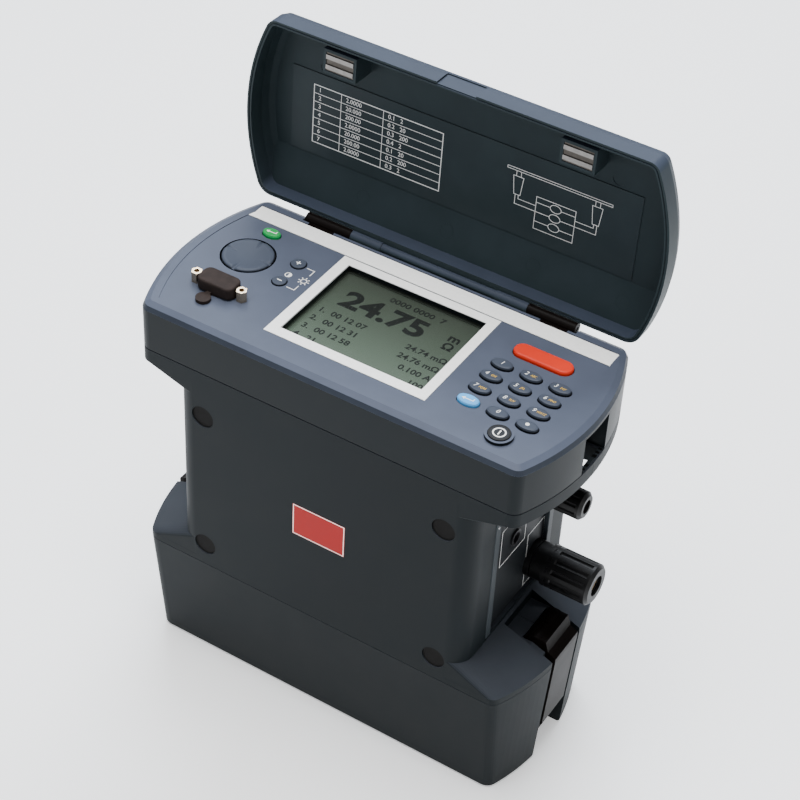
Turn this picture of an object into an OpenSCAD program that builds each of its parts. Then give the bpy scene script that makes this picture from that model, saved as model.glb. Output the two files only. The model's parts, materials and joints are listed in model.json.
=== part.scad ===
// Portable bench instrument for measuring very small resistances.
// X runs along the front, Y from front to back, Z up; the origin is the centre of the underside.
// The lid is drawn open, as it stands in use.

/* [Overall] */
// Length of the head and of the base along the front
body_l = 220; // [212:1:228]
// Depth of the head and of the base
body_d = 100; // [97:1:106]
// How far each end bows out beyond its corners
end_bow = 11.8; // [10:0.2:13.6]
// Corner radius in plan
corner_r = 6; // [4:0.5:7]
// Wall of the mouldings
wall = 2.5; // [2:0.1:2.8]

/* [Battery base] */
// Height of the battery base
base_h = 67; // [64:1:74]
// How far the underside is drawn in at each end
base_end_in = 3.8; // [2:0.2:5]
// How far the underside is drawn in at front and rear
base_face_in = 6.7; // [4:0.1:8]
// Half width of the hand recess in each end
recess_y = 13.5; // [12.5:0.5:16]
// Depth of the hand recess
recess_depth = 11; // [10:0.5:12]

/* [Case] */
// Height of the flange edge above the base
flange_edge = 3.5; // [3:0.1:5]
// Rise of the sloping flange top
flange_rise = 11.2; // [10:0.2:13]
// Height of the narrow column
column_h = 92.6; // [88:0.2:100]
// How far the column ends lie back from the ends of the head
end_step = 29.5; // [27:0.5:32]
// Corner radius of the column
column_r = 10; // [8:0.5:11]
// Rise of the sloping lip under the head
lip_rise = 7.2; // [5:0.2:9]
// Height of the lip edge
lip_edge = 7.2; // [6:0.2:9]
// Half depth of the panel opening in each column end
side_y = 27; // [26:0.5:30]
// How far the side panels lie back from the column ends
side_recess = 2; // [1.5:0.1:2.4]

/* [Head] */
// Height of the head above the seam
head_h = 26.5; // [25:0.5:29]
// Thickness of the control panel
panel_t = 2.5; // [2:0.1:2.8]
// Width of the rounding along the top edge
crown_r = 3.8; // [2.5:0.1:4.5]
// Half width of the strap window in each end
strap_y = 10.7; // [9.5:0.1:11.5]
// Height of the strap window
strap_h = 21; // [19:0.5:21.5]

/* [Controls] */
// Keypad pitch from left to right
key_pitch_x = 14.6; // [13.5:0.1:14.8]
// Depth of the panel that the five rows of buttons leave free
rows_free = 51.25; // [50:0.25:55]
// Length of a key
key_l = 10.6; // [9.5:0.1:11]
// Panel left between two rows of keys
row_gap = 3.15; // [3:0.05:3.6]
// How far the keys stand above the panel
key_proud = 1.8; // [1.2:0.1:2.4]
// Travel of every key
key_travel = 1; // [0.6:0.1:1.2]
// Length of the test button
test_l = 29.5; // [26:0.5:31]
// Width of the test button
test_w = 9; // [8:0.1:9.6]
// Depth of the panel outside the field that the cursor pad half fills
pad_free = 50.4; // [48:0.2:56]
// Radius of the power key
power_r = 4.9; // [4:0.1:5.4]

/* [Display] */
// Width of the control field at each side of the display
side_field = 67.8; // [67:0.2:70]
// Distance of the display frame from the front face
frame_front = 16.1; // [15:0.1:18]
// Distance of the display frame from the rear face
frame_rear = 18.1; // [17.3:0.1:20]
// Border of the display frame at its sides
frame_side = 5.05; // [4:0.05:7]
// Border of the display frame at front and rear
frame_end = 4.75; // [4:0.05:7]

/* [Terminals] */
// Radius of the current terminals' caps
current_r = 10.5; // [9:0.1:11]
// Radius of the potential terminals' caps
potential_r = 7; // [6:0.1:8]
// Reach of the current terminals from the side panel
current_reach = 34.5; // [31:0.5:36]
// Reach of the potential terminals from the side panel
potential_reach = 29.5; // [27:0.5:32]
// Radius of the lead sockets in the current studs
lead_r = 2; // [1.6:0.05:2.2]

/* [Lid] */
// Height of the lid
lid_h = 17.5; // [16:0.5:20]
// Angle at which the open lid rests
lid_open = 92; // [88:1:96]
// Width of the rounding along the lid's edge
lid_round = 9; // [6:0.5:10]
// Radius of the hinge barrels
barrel_r = 2.9; // [2.7:0.05:3]
// Radius of the hinge pins
pin_r = 1; // [0.8:0.05:1.2]

/* [Clips] */
// Half width of the clips
clip_y = 11; // [10:0.1:11.2]
// Length of a clip below its pin
clip_drop = 50.6; // [44:0.2:54]

/* [Hidden] */
KEY_NAMES = ["key_1", "key_2", "key_3", "key_4", "key_5", "key_6",
  "key_7", "key_8", "key_9", "key_blue", "key_0", "key_dot"];
KEY_COLUMNS = 3;
BUTTON_ROWS = 5;

// Facets of round work, of the long end arcs and of blended forms
$fn = 64;
arc_fn = 180;
blend_fn = 32;

// Clearances, overruns and thin slices
cut = 1;
slide_gap = 0.3;
bore_gap = 0.05;
seat_gap = 0.1;
part_gap = 0.15;
slice = 0.02;
lap = 0.05;

// Bowed end arcs shared by base, case, head and lid
bow_r = (pow(body_d / 2, 2) + pow(end_bow, 2)) / (2 * end_bow);
bow_x = body_l / 2 - bow_r;

// Ends of the column
column_x = body_l / 2 - end_step;

// Heights of the stack
base_gap = 0.3;
case_z = base_h + base_gap;
flange_z = case_z + flange_edge;
column_z = flange_z + flange_rise;
neck_z = column_z + column_h;
lip_z = neck_z + lip_rise;
seam_z = lip_z + lip_edge;
top_z = seam_z + head_h;
panel_drop = 0.3;
panel_z = top_z - panel_drop;
under_z = panel_z - panel_t;
panel_rim = 3.5;
groove = 0.6;

// Hinge line
hinge_back = 2.5;
hinge_y = body_d / 2 - hinge_back;
hinge_z = top_z;
channel_gap = 0.4;
channel_y = hinge_y - barrel_r - channel_gap;
channel_z = hinge_z - barrel_r - cut;
channel_in = 36;
channel_x = body_l / 2 - channel_in;
knuckle_out = 26.3;
knuckle_l = 16.7;
knuckle_x1 = channel_x - knuckle_out;
knuckle_x0 = knuckle_x1 - knuckle_l;
leaf_x1 = channel_x - cut;
leaf_tab_in = 3;
leaf_tab_l = 14;
leaf_tab_x1 = leaf_x1 - leaf_tab_in;
leaf_tab_x0 = leaf_tab_x1 - leaf_tab_l;
leaf_tab_reach = 1.7;
leaf_skin = 0.1;
pin_in = 2;
pin_x0 = knuckle_x0 + pin_in;
pin_x1 = leaf_x1 - cut;

// Head: boards and supports
board_end_in = 17.5;
board_x = body_l / 2 - board_end_in;
board_face_in = 9;
board_y = body_d / 2 - board_face_in;
board_t = 1.6;
board_drop = 7.7;
board_top = under_z - board_drop;
boss_r = 3;
boss_out = 5.6;
boss_face_in = 12.5;
strap_depth = 14;
strap_rib_t = 1.2;
strap_rib_reach = 2.5;
strap_rib_y = 4;
strap_hole_in = 3;
strap_hole_w = 8;
strap_hole_x1 = body_l / 2 - strap_hole_in;
strap_hole_x0 = strap_hole_x1 - strap_hole_w;
strap_hole_y = 9;

// Keypad and buttons
key_pitch_y = (body_d - rows_free) / BUTTON_ROWS;
key_w = key_pitch_y - row_gap;
key_end_r = 2.6;
key_gap = 0.35;
key_flange = 0.8;
key_flange_t = 1;
key_crown = 1.1;
key_mid_share = 0.45;
key_high_share = 0.82;
key_high_in_share = 0.32;
mat_t = 1.2;
mat_edge = 6.6;
mat_side = 1.1;
dome_r = 2.6;
dome_top_r = 2;
test_proud = 2;
pad_gap = 0.9;
pad_t = 3;
pad_dish = 1.2;
pad_lip = 1.2;
pad_sink = 0.2;
pad_crease = 0.5;
pad_crease_l = 5;
pad_boss_r = 3;
pad_boss_h = 2;
enter_l = 9.4;
enter_w = 6.4;
enter_end_r = 2.5;
plus_r = 3.7;
minus_r = 3.5;
sign_proud = 0.9;
power_collar_r = 6.5;
power_collar_h = 1.6;
power_proud = 2;

// Display and title strip
strip_left_in = 14;
strip_right_in = 13;
strip_x0 = strip_left_in - body_l / 2;
strip_x1 = body_l / 2 - strip_right_in;
strip_w = 9.3;
strip_back = 1.9;
strip_t = 0.6;
strip_sink = 0.4;
strip_y0 = channel_y - strip_back - strip_w;
frame_w = body_l - 2 * side_field;
frame_h = body_d - frame_front - frame_rear;
frame_y = (frame_front - frame_rear) / 2;
window_w = frame_w - 2 * frame_side;
window_h = frame_h - 2 * frame_end;
window_up = 0.75;
window_y = frame_y + window_up;
window_x = 0.35;
boss_x = frame_w / 2 + boss_out;
boss_y = body_d / 2 - boss_face_in;
frame_t = 0.8;
frame_sink = 0.6;
frame_r = 2;
glass_t = 1.5;
glass_rim = 2.5;
lcd_gap = 0.2;
lcd_rim = 3.4;
lcd_view_sink = 0.5;

// Places of the controls, from the ends and faces of the panel
power_in = 30;
power_front = 15;
power_x = body_l / 2 - power_in;
power_y = power_front - body_d / 2;
keypad_in = 37.5;
keypad_front = 11.65;
keypad_x = body_l / 2 - keypad_in;
keypad_y = power_y + keypad_front + (BUTTON_ROWS - 2) * key_pitch_y;
test_left = 1.3;
test_up = 3.75;
test_x = keypad_x - test_left;
test_y = keypad_y + key_pitch_y + test_up;
enter_back = 6.7;
enter_y = strip_y0 - enter_back;
pad_in = 30.9;
pad_back = 7.3;
pad_share = 0.25;
pad_r = (body_d - pad_free) * pad_share;
pad_x = pad_in - body_l / 2;
pad_y = enter_y - pad_r - pad_back;
enter_left = 0.3;
enter_x = pad_x - enter_left;
sign_right = 22.9;
plus_up = 8;
minus_down = 7.7;
sign_x = pad_x + sign_right;
plus_y = pad_y + plus_up;
minus_y = pad_y - minus_down;
mat_x0 = keypad_x - key_pitch_x - mat_edge;
mat_x1 = keypad_x + key_pitch_x + mat_edge - mat_side;
mat_y0 = keypad_y - (BUTTON_ROWS - 2) * key_pitch_y - mat_edge;
mat_y1 = test_y + mat_edge;
control_mat_side = 5.7;
control_mat_x0 = pad_x - pad_r;
control_mat_x1 = sign_x + control_mat_side;
control_mat_y0 = minus_y - minus_r;
control_mat_y1 = enter_y + control_mat_side;

// Serial connector
serial_in = 35.2;
serial_front = 27.8;
serial_x = serial_in - body_l / 2;
serial_y = serial_front - body_d / 2;
serial_spacing = 25;
standoff_r = 2.7;
standoff_h = 5.6;
standoff_bore = 1.3;
standoff_bore_h = 4;
standoff_shank = 1.4;
serial_plate_l = 31;
serial_plate_w = 12.4;
serial_plate_t = 1;
serial_shell_l = 16.8;
serial_shell_w = 8.2;
serial_shell_end = 2.6;
serial_shell_h = 4.8;
serial_shell_t = 0.5;
serial_cover_l = 19.6;
serial_cover_w = 10.8;
serial_cover_end = 3.8;
serial_cover_h = 6.8;
serial_cover_round = 0.8;
tab_left = 1.7;
tab_front = 10.1;
tab_x = serial_x - tab_left;
tab_y = serial_y - tab_front;
tab_r = 3.6;
tab_neck = 2.4;
tab_t = 1.5;
tab_lift = 0.3;
serial_pin_r = 0.5;
serial_pin_pitch = 2.76;
serial_pin_rows = 2.84;
serial_pin_h = 4;

// Side panels, terminals and socket
side_face = column_x - side_recess;
side_wall_in = column_x - wall;
side_margin = 2.2;
side_lip = 2;
side_lip_t = 1.5;
current_up = 17;
potential_y = 4;
potential_down = 16.6;
collar_t = 3;
collar_back = 6;
collar_margin = 0.9;
collar_side = 0.4;
current_y = side_y - current_r + collar_margin - collar_side;
collar_neck_share = 0.55;
current_stud_wall = 2;
potential_stud_wall = 1.1;
current_stud_r = lead_r + current_stud_wall;
potential_stud_r = lead_r + potential_stud_wall;
stud_set_back = 2;
stud_nut_t = 3;
stud_nut_out = 2.4;
lead_depth = 15;
cap_plain = 6;
cap_plain_in = 1;
cap_flutes = 12;
cap_flute_share = 0.13;
cap_flute_out_share = 1.04;
cap_mouth_share = 0.5;
cap_mouth_depth = 1.6;
cap_end = 1.5;
socket_y = -5;
socket_up = 48;
socket_r = 4.4;
socket_bore = 2.8;
socket_proud = 1;
socket_back = 7;
socket_bore_depth = 6;

// Screws, plugs and badge
screw_in = 15.5;
screw_x = column_x - screw_in;
screw_high_down = 11.6;
screw_low_up = 9.7;
screw_r = 2;
screw_bore = 2.2;
screw_head_r = 3.8;
screw_head_t = 3;
screw_l = 62;
screw_set_back = 9;
screw_boss = 1.7;
plug_r = 5.9;
plug_t = 3;
plug_sink = 0.6;
badge_w = 28.7;
badge_h = 19;
badge_t = 0.9;
badge_sink = 1;
badge_up = 44.5;

// Power board and contacts
power_board_end_in = 26.5;
power_board_face_in = 12;
power_board_x = column_x - power_board_end_in;
power_board_y = body_d / 2 - power_board_face_in;
power_board_rise = 5;
power_post_r = 3;
power_post_in = 8;
floor_t = 3.5;
coil_r = 15;
coil_h = 24;
power_edge = 9;
coil_x = coil_r + power_edge - power_board_x;
sink_l = 40;
sink_w = 24;
sink_h = 30;
sink_x = power_board_x - sink_l / 2 - power_edge;
contact_x = 12;
contact_pitch = 8;
contact_w = 3;
contact_t = 1;
contact_h = 8;
contact_sink = 2;
contact_n = 4;

// Battery base
foot_edge = 1.2;
cover_t = 2.7;
cover_ledge = 1.5;
cell_r = 16.6;
cell_l = 61;
cell_gap = 1.2;
cell_nub_r = 5;
cell_nub = 1;
recess_x = body_l / 2 - recess_depth;
cell_n = floor((2 * (recess_x - wall) + cell_gap) / (2 * cell_r + cell_gap));
ledge_x = 2.5;
ledge_h = 4;
ledge_down = 3;

// Clips
clip_pin_end_in = 12.8;
clip_pin_x = body_l / 2 - clip_pin_end_in;
clip_pin_rise = 6.3;
clip_pin_z = case_z + clip_pin_rise;
clip_barrel = 5.9;
clip_pin_r = 1;
clip_pin_in = 3.5;
clip_channel_up = 8.5;
clip_channel_x0 = 1.5;
clip_open_x = 6.8;
clip_back_x = 3.6;
clip_lever_t = 2.6;
clip_top_x = 6.3;
clip_top_z = 5.4;
clip_valley_x = 8;
clip_valley_z = -0.3;
clip_edge_x = 12.3;
clip_edge_z = -2.7;
clip_face_z = -5.5;
clip_foot_x = 9.7;
clip_web_x = 4.6;
clip_web_z = -8;
nib_h = 3;
nib_gap = 0.6;
clip_groove = 0.5;

// Lid
lid_gap = 0.4;
lid_wall = 2.4;
lid_floor_t = 2.9;
lid_z = top_z + lid_gap;
lid_top = lid_z + lid_h;
lid_floor = lid_top - lid_floor_t;
lid_rear = hinge_y - barrel_r - slide_gap;
lid_rear_r = 8;
lid_mid_share = 0.45;
lid_mid_in_share = 0.13;
lid_high_share = 0.8;
lid_high_in_share = 0.42;
lid_inner_share = 0.72;
rim_line = 1;
rim_line_w = 0.6;
rim_line_h = 0.5;
notch_x = 10;
notch_h = 10;
notch_in = 1;
web_h = 2.5;
web_in = 2;
bar_r = 2.4;
label_left_in = 16;
label_right_in = 21;
label_face_in = 28;
label_x0 = label_left_in - body_l / 2;
label_x1 = body_l / 2 - label_right_in;
label_y = body_d / 2 - label_face_in;
label_t = 0.4;
magnet_in = 49;
magnet_front = 11.5;
magnet_x = body_l / 2 - magnet_in;
magnet_y = magnet_front - body_d / 2;
magnet_box_l = 17.5;
magnet_box_w = 12.5;
magnet_box_t = 1.4;
magnet_rise = 1.4;
magnet_t = 5;
pole_w = 2.2;
pole_proud = 0.3;
pole_side = 1.2;
keeper_l = 16;
keeper_w = 10.5;
keeper_t = 1;
step_face_in = 23;
step_y = body_d / 2 - step_face_in;
step_h = 0.4;
mark_r = 3;
mark_sink = 0.2;
mark_in = 34;
mark_x = body_l / 2 - mark_in;

// Outline in plan with straight front and rear and bowed ends
module plan(inset = 0, front = body_d / 2, rear = body_d / 2, front_r = corner_r, rear_r = corner_r) {
  bow = bow_r - inset;
  fy = front - inset;
  ry = rear - inset;
  fr = max(front_r - inset, slide_gap);
  rr = max(rear_r - inset, slide_gap);
  fx = bow_x + sqrt(pow(bow - fr, 2) - pow(fy - fr, 2));
  rx = bow_x + sqrt(pow(bow - rr, 2) - pow(ry - rr, 2));
  ft = (fy - fr) * bow / (bow - fr);
  rt = (ry - rr) * bow / (bow - rr);
  for (side = [-1, 1]) intersection() {
    translate([side * bow_x, 0]) circle(bow, $fn = arc_fn);
    translate([min(0, side * body_l), -ft]) square([body_l, ft + rt]);
  }
  polygon([[-fx, -fy], [fx, -fy], [rx, ry], [-rx, ry]]);
  for (side = [-1, 1]) {
    translate([side * fx, fr - fy]) circle(fr, $fn = blend_fn);
    translate([side * rx, ry - rr]) circle(rr, $fn = blend_fn);
  }
}

// Rectangle with round corners
module round_rect(half_x, half_y, r) {
  square([2 * half_x, 2 * (half_y - r)], center = true);
  square([2 * (half_x - r), 2 * half_y], center = true);
  for (sx = [-1, 1], sy = [-1, 1]) {
    translate([sx * (half_x - r), sy * (half_y - r)]) circle(r, $fn = blend_fn);
  }
}

// Four-arc oval, or a capsule or a circle where the end radius asks for one
module oval(half_l, half_w, end_r) {
  if (half_l == half_w) {
    circle(half_l);
  } else if (end_r >= half_w) {
    square([2 * (half_l - half_w), 2 * half_w], center = true);
    for (side = [-1, 1]) translate([side * (half_l - half_w), 0]) circle(half_w);
  } else {
    big = (pow(half_l - end_r, 2) + pow(half_w, 2) - pow(end_r, 2)) / (2 * (half_w - end_r));
    reach = (half_l - end_r) * big / (big - end_r);
    intersection() {
      translate([0, half_w - big]) circle(big);
      translate([0, big - half_w]) circle(big);
      square([2 * reach, 2 * half_w], center = true);
    }
    for (side = [-1, 1]) translate([side * (half_l - end_r), 0]) circle(end_r);
  }
}

// Extrusion from one height to another
module band(z0, z1) {
  translate([0, 0, z0]) linear_extrude(z1 - z0) children();
}

// Box between two corners
module span(low, high) {
  translate(low) cube(high - low);
}

// A piece and its mirror image at the other end
module both_ends() {
  children();
  mirror([1, 0, 0]) children();
}

// Turns what is drawn closed into the open place of the lid
module lid_place() {
  translate([0, hinge_y, hinge_z]) rotate([-lid_open, 0, 0]) translate([0, -hinge_y, -hinge_z]) children();
}

// Cap of a button: straight side, rounded shoulder and crowned top, with a flange under the panel
module button_form(x, y, half_l, half_w, end_r, proud) {
  flange_top = under_z - slide_gap;
  translate([x, y, 0]) {
    band(flange_top - key_flange_t, flange_top) {
      oval(half_l + key_flange, half_w + key_flange, end_r + key_flange);
    }
    hull() {
      band(flange_top - key_flange_t / 2, flange_top) oval(half_l, half_w, end_r, $fn = blend_fn);
      band(panel_z + proud * key_mid_share, panel_z + proud * key_mid_share + slice) {
        oval(half_l, half_w, end_r, $fn = blend_fn);
      }
      shoulder = key_crown * key_high_in_share;
      band(panel_z + proud * key_high_share, panel_z + proud * key_high_share + slice) {
        oval(half_l - shoulder, half_w - shoulder, end_r - shoulder, $fn = blend_fn);
      }
      band(panel_z + proud - slice, panel_z + proud) {
        oval(half_l - key_crown, half_w - key_crown, end_r - key_crown, $fn = blend_fn);
      }
    }
  }
}

// Round button of the same form, turned
module round_button_form(x, y, r, proud) {
  flange_top = under_z - slide_gap;
  crown = key_crown / 2;
  translate([x, y, 0]) rotate_extrude() polygon([
    [0, flange_top - key_flange_t],
    [r + key_flange, flange_top - key_flange_t],
    [r + key_flange, flange_top],
    [r, flange_top],
    [r, panel_z + proud * key_mid_share],
    [r - crown * key_high_in_share, panel_z + proud * key_high_share],
    [r - crown, panel_z + proud],
    [0, panel_z + proud]
  ]);
}

// Hole in the panel that a button passes through
module button_hole(x, y, half_l, half_w, end_r) {
  translate([x, y, 0]) band(under_z - cut, top_z + power_collar_h + cut) {
    oval(half_l + key_gap, half_w + key_gap, end_r + key_gap);
  }
}

function key_at(i) = [
  keypad_x + (i % KEY_COLUMNS - 1) * key_pitch_x,
  keypad_y - floor(i / KEY_COLUMNS) * key_pitch_y
];

module key(i) {
  at = key_at(i);
  color(i == 9 ? "cornflowerblue" : [0.3, 0.35, 0.42]) {
    button_form(at[0], at[1], key_l / 2, key_w / 2, key_end_r, key_proud);
  }
}

// Block that closes the strap pocket off from the inside of the head and lip
module strap_block(z0, z1) {
  span([body_l / 2 - strap_depth - wall, -strap_y - wall, z0], [body_l / 2 + cut, strap_y + wall, z1]);
}

module cover_inside() {
  difference() {
    band(seam_z - cut, under_z) plan(wall);
    both_ends() strap_block(seam_z - 2 * cut, under_z + cut);
    span([-channel_x - wall, channel_y - wall, channel_z - wall], [channel_x + wall, body_d, under_z + cut]);
    for (sx = [-1, 1], sy = [-1, 1]) {
      translate([sx * boss_x, sy * boss_y, board_top]) cylinder(r = boss_r, h = board_drop + cut);
    }
  }
}

module strap_ribs() {
  x0 = body_l / 2 - strap_depth;
  for (side = [-1, 1]) {
    y0 = side * strap_rib_y - strap_rib_t / 2;
    span([x0 - cut, y0, seam_z], [x0 + strap_rib_reach, y0 + strap_rib_t, seam_z + strap_h]);
  }
}

module top_cover() {
  edge_z = top_z - crown_r;
  color([0.32, 0.36, 0.43]) difference() {
    union() {
      difference() {
        union() {
          band(seam_z, seam_z + groove) plan(groove);
          band(seam_z + groove, edge_z) plan();
          hull() {
            band(edge_z - slice, edge_z) plan(lap);
            band(top_z - crown_r * 0.4, top_z - crown_r * 0.4 + slice) plan(crown_r * 0.28);
            band(top_z - slice, top_z) plan(crown_r);
          }
        }
        cover_inside();
        both_ends() {
          span([body_l / 2 - strap_depth, -strap_y, seam_z - cut], [body_l, strap_y, seam_z + strap_h]);
        }
        band(panel_z, top_z + cut) plan(crown_r + panel_rim);
        span([-channel_x, channel_y, channel_z], [channel_x, body_d, top_z + cut]);
      }
      both_ends() strap_ribs();
      translate([power_x, power_y, 0]) band(panel_z - cut, panel_z + power_collar_h) circle(power_collar_r);
    }
    for (i = [0:len(KEY_NAMES) - 1]) {
      button_hole(key_at(i)[0], key_at(i)[1], key_l / 2, key_w / 2, key_end_r);
    }
    button_hole(test_x, test_y, test_l / 2, test_w / 2, test_w);
    button_hole(enter_x, enter_y, enter_l / 2, enter_w / 2, enter_end_r);
    button_hole(sign_x, plus_y, plus_r, plus_r, plus_r);
    button_hole(sign_x, minus_y, minus_r, minus_r, minus_r);
    button_hole(power_x, power_y, power_r, power_r, power_r);
    translate([pad_x, pad_y, 0]) band(under_z - cut, top_z + cut) circle(pad_r + pad_gap);
    translate([window_x, window_y, 0]) band(under_z - cut, top_z + cut) {
      square([window_w, window_h], center = true);
    }
    translate([0, frame_y, 0]) band(panel_z - frame_sink, top_z + cut) {
      round_rect(frame_w / 2 + seat_gap, frame_h / 2 + seat_gap, frame_r);
    }
    span([strip_x0 - seat_gap, strip_y0 - seat_gap, panel_z - strip_sink],
      [strip_x1 + seat_gap, strip_y0 + strip_w + seat_gap, top_z + cut]);
    translate([serial_x, serial_y, 0]) {
      band(under_z - cut, top_z + cut) {
        oval(serial_shell_l / 2 + seat_gap, serial_shell_w / 2 + seat_gap, serial_shell_end + seat_gap);
      }
      for (side = [-1, 1]) translate([side * serial_spacing / 2, 0, under_z - cut]) {
        cylinder(r = standoff_shank + seat_gap, h = panel_t + 2 * cut);
      }
    }
    both_ends() span([leaf_tab_x0 - seat_gap, channel_y - leaf_tab_reach - seat_gap, channel_z],
      [leaf_tab_x1 + seat_gap, channel_y + cut, top_z + cut]);
  }
}

// Outer form of both case halves together: lip, column and flange
module case_form() {
  band(lip_z, seam_z) plan();
  band(case_z, flange_z) plan();
  band(case_z, seam_z) round_rect(column_x, body_d / 2, column_r);
  hull() {
    band(lip_z, lip_z + slice) plan(lap);
    band(neck_z, neck_z + slice) round_rect(column_x - lap, body_d / 2 - lap, column_r);
  }
  hull() {
    band(flange_z - slice, flange_z) plan(lap);
    band(column_z - slice, column_z) round_rect(column_x - lap, body_d / 2 - lap, column_r);
  }
}

// Everything cut from the case at the right-hand end
module case_end_cuts() {
  span([strap_hole_x0, -strap_hole_y, neck_z], [strap_hole_x1, strap_hole_y, seam_z + cut]);
  span([column_x + clip_channel_x0, -recess_y, case_z + clip_channel_up], [body_l, recess_y, column_z + cut]);
  span([clip_pin_x + clip_open_x, -recess_y, case_z - cut], [body_l, recess_y, column_z + cut]);
  slot_y = clip_y + slide_gap;
  span([clip_pin_x - clip_back_x, -slot_y, case_z - cut],
    [clip_pin_x + clip_open_x + cut, slot_y, clip_pin_z]);
  translate([clip_pin_x, slot_y, clip_pin_z]) rotate([90, 0, 0]) {
    cylinder(r = clip_barrel + slide_gap, h = 2 * slot_y);
  }
  translate([clip_pin_x, slot_y + clip_pin_in, clip_pin_z]) rotate([90, 0, 0]) {
    cylinder(r = clip_pin_r + bore_gap, h = 2 * (slot_y + clip_pin_in));
  }
  span([side_wall_in - cut, -side_y, column_z + side_margin], [column_x + cut, side_y, neck_z - side_margin]);
}

module case_body() {
  difference() {
    case_form();
    band(case_z + floor_t, seam_z + cut) {
      round_rect(column_x - wall, body_d / 2 - wall, column_r - wall);
    }
    difference() {
      band(lip_z + wall, seam_z + cut) plan(wall);
      both_ends() strap_block(lip_z, seam_z + 2 * cut);
    }
    both_ends() case_end_cuts();
    for (i = [0:contact_n - 1]) contact(i, seat_gap);
  }
}

module screw_places() {
  for (side = [-1, 1], z = [column_z - flange_rise + screw_low_up, neck_z - screw_high_down]) {
    translate([side * screw_x, -body_d / 2, z]) rotate([-90, 0, 0]) children();
  }
}

module power_posts(y_side) {
  for (side = [-1, 1]) {
    translate([side * (power_board_x - power_post_in), y_side * (power_board_y - power_post_in), case_z + seat_gap]) {
      cylinder(r = power_post_r, h = floor_t + power_board_rise - seat_gap);
    }
  }
}

module front_case() {
  half = part_gap / 2;
  color([0.24, 0.27, 0.31]) difference() {
    union() {
      intersection() {
        case_body();
        span([-body_l, -body_d, 0], [body_l, -half, top_z]);
      }
      screw_places() translate([0, 0, wall / 2]) {
        cylinder(r = plug_r + screw_boss, h = screw_set_back + screw_boss - wall / 2);
        cylinder(r = screw_bore + screw_boss, h = body_d / 2 - half - wall / 2);
      }
      power_posts(-1);
    }
    screw_places() {
      translate([0, 0, -cut]) cylinder(r = plug_r + seat_gap, h = screw_set_back + cut);
      cylinder(r = screw_bore, h = body_d / 2 + cut);
    }
    translate([0, 0, column_z + badge_up]) {
      span([-badge_w / 2 - seat_gap, -body_d, -badge_h / 2 - seat_gap],
        [badge_w / 2 + seat_gap, badge_sink - body_d / 2, badge_h / 2 + seat_gap]);
    }
  }
}

module rear_case() {
  half = part_gap / 2;
  color([0.24, 0.27, 0.31]) difference() {
    union() {
      intersection() {
        case_body();
        span([-body_l, half, 0], [body_l, body_d, top_z]);
      }
      screw_places() translate([0, 0, body_d / 2 + half]) {
        cylinder(r = screw_r + screw_boss, h = body_d / 2 - half - wall / 2);
      }
      power_posts(1);
    }
    screw_places() cylinder(r = screw_r + bore_gap, h = screw_set_back + screw_l + cut);
  }
}

module side_panel_form() {
  z0 = column_z + side_margin;
  z1 = neck_z - side_margin;
  back = side_wall_in - seat_gap - side_lip_t;
  difference() {
    union() {
      span([back, seat_gap - side_y, z0 + seat_gap], [side_face, side_y - seat_gap, z1 - seat_gap]);
      span([back, -side_y - side_lip, z0 - side_lip],
        [side_wall_in - seat_gap, side_y + side_lip, z1 + side_lip]);
    }
    terminal_place(current_y, column_z + current_up) {
      translate([0, 0, -collar_back]) {
        cylinder(r = current_r * collar_neck_share + seat_gap, h = collar_back + cut);
      }
    }
    terminal_place(potential_y, neck_z - potential_down) {
      translate([0, 0, -collar_back]) {
        cylinder(r = potential_r * collar_neck_share + seat_gap, h = collar_back + cut);
      }
    }
  }
}

// Places a turned piece on the right-hand side panel, its axis outwards
module terminal_place(y, z) {
  translate([side_face, y, z]) rotate([0, 90, 0]) children();
}

module side_panel_right() {
  color([0.12, 0.14, 0.17]) difference() {
    side_panel_form();
    terminal_place(socket_y, column_z + socket_up) {
      translate([0, 0, -socket_back]) cylinder(r = socket_r - socket_proud + seat_gap, h = socket_back + cut);
    }
  }
}

module side_panel_left() {
  color([0.12, 0.14, 0.17]) mirror([1, 0, 0]) side_panel_form();
}

// Insulating collar between a terminal and its panel
module collar_form(cap_r, stud_r) {
  difference() {
    union() {
      cylinder(r = cap_r - collar_margin, h = collar_t);
      translate([0, 0, -collar_back]) cylinder(r = cap_r * collar_neck_share, h = collar_back + collar_t);
    }
    translate([0, 0, -collar_back - cut]) {
      cylinder(r = stud_r + seat_gap, h = collar_back + collar_t + 2 * cut);
    }
  }
}

module terminal_collars() {
  color([0.08, 0.08, 0.09]) both_ends() {
    terminal_place(current_y, column_z + current_up) collar_form(current_r, current_stud_r);
    terminal_place(potential_y, neck_z - potential_down) collar_form(potential_r, potential_stud_r);
  }
}

// Brass stud with its nut inside the case and a lead socket in its end
module stud_form(stud_r, reach) {
  difference() {
    union() {
      translate([0, 0, -collar_back - stud_nut_t]) {
        cylinder(r = stud_r, h = reach - stud_set_back + collar_back + stud_nut_t);
        cylinder(r = stud_r + stud_nut_out, h = stud_nut_t, $fn = 6);
      }
    }
    translate([0, 0, reach - stud_set_back - lead_depth]) cylinder(r = lead_r, h = lead_depth + cut);
  }
}

module terminal_studs() {
  color([0.72, 0.55, 0.28]) both_ends() {
    terminal_place(current_y, column_z + current_up) stud_form(current_stud_r, current_reach);
    terminal_place(potential_y, neck_z - potential_down) stud_form(potential_stud_r, potential_reach);
  }
}

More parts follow.
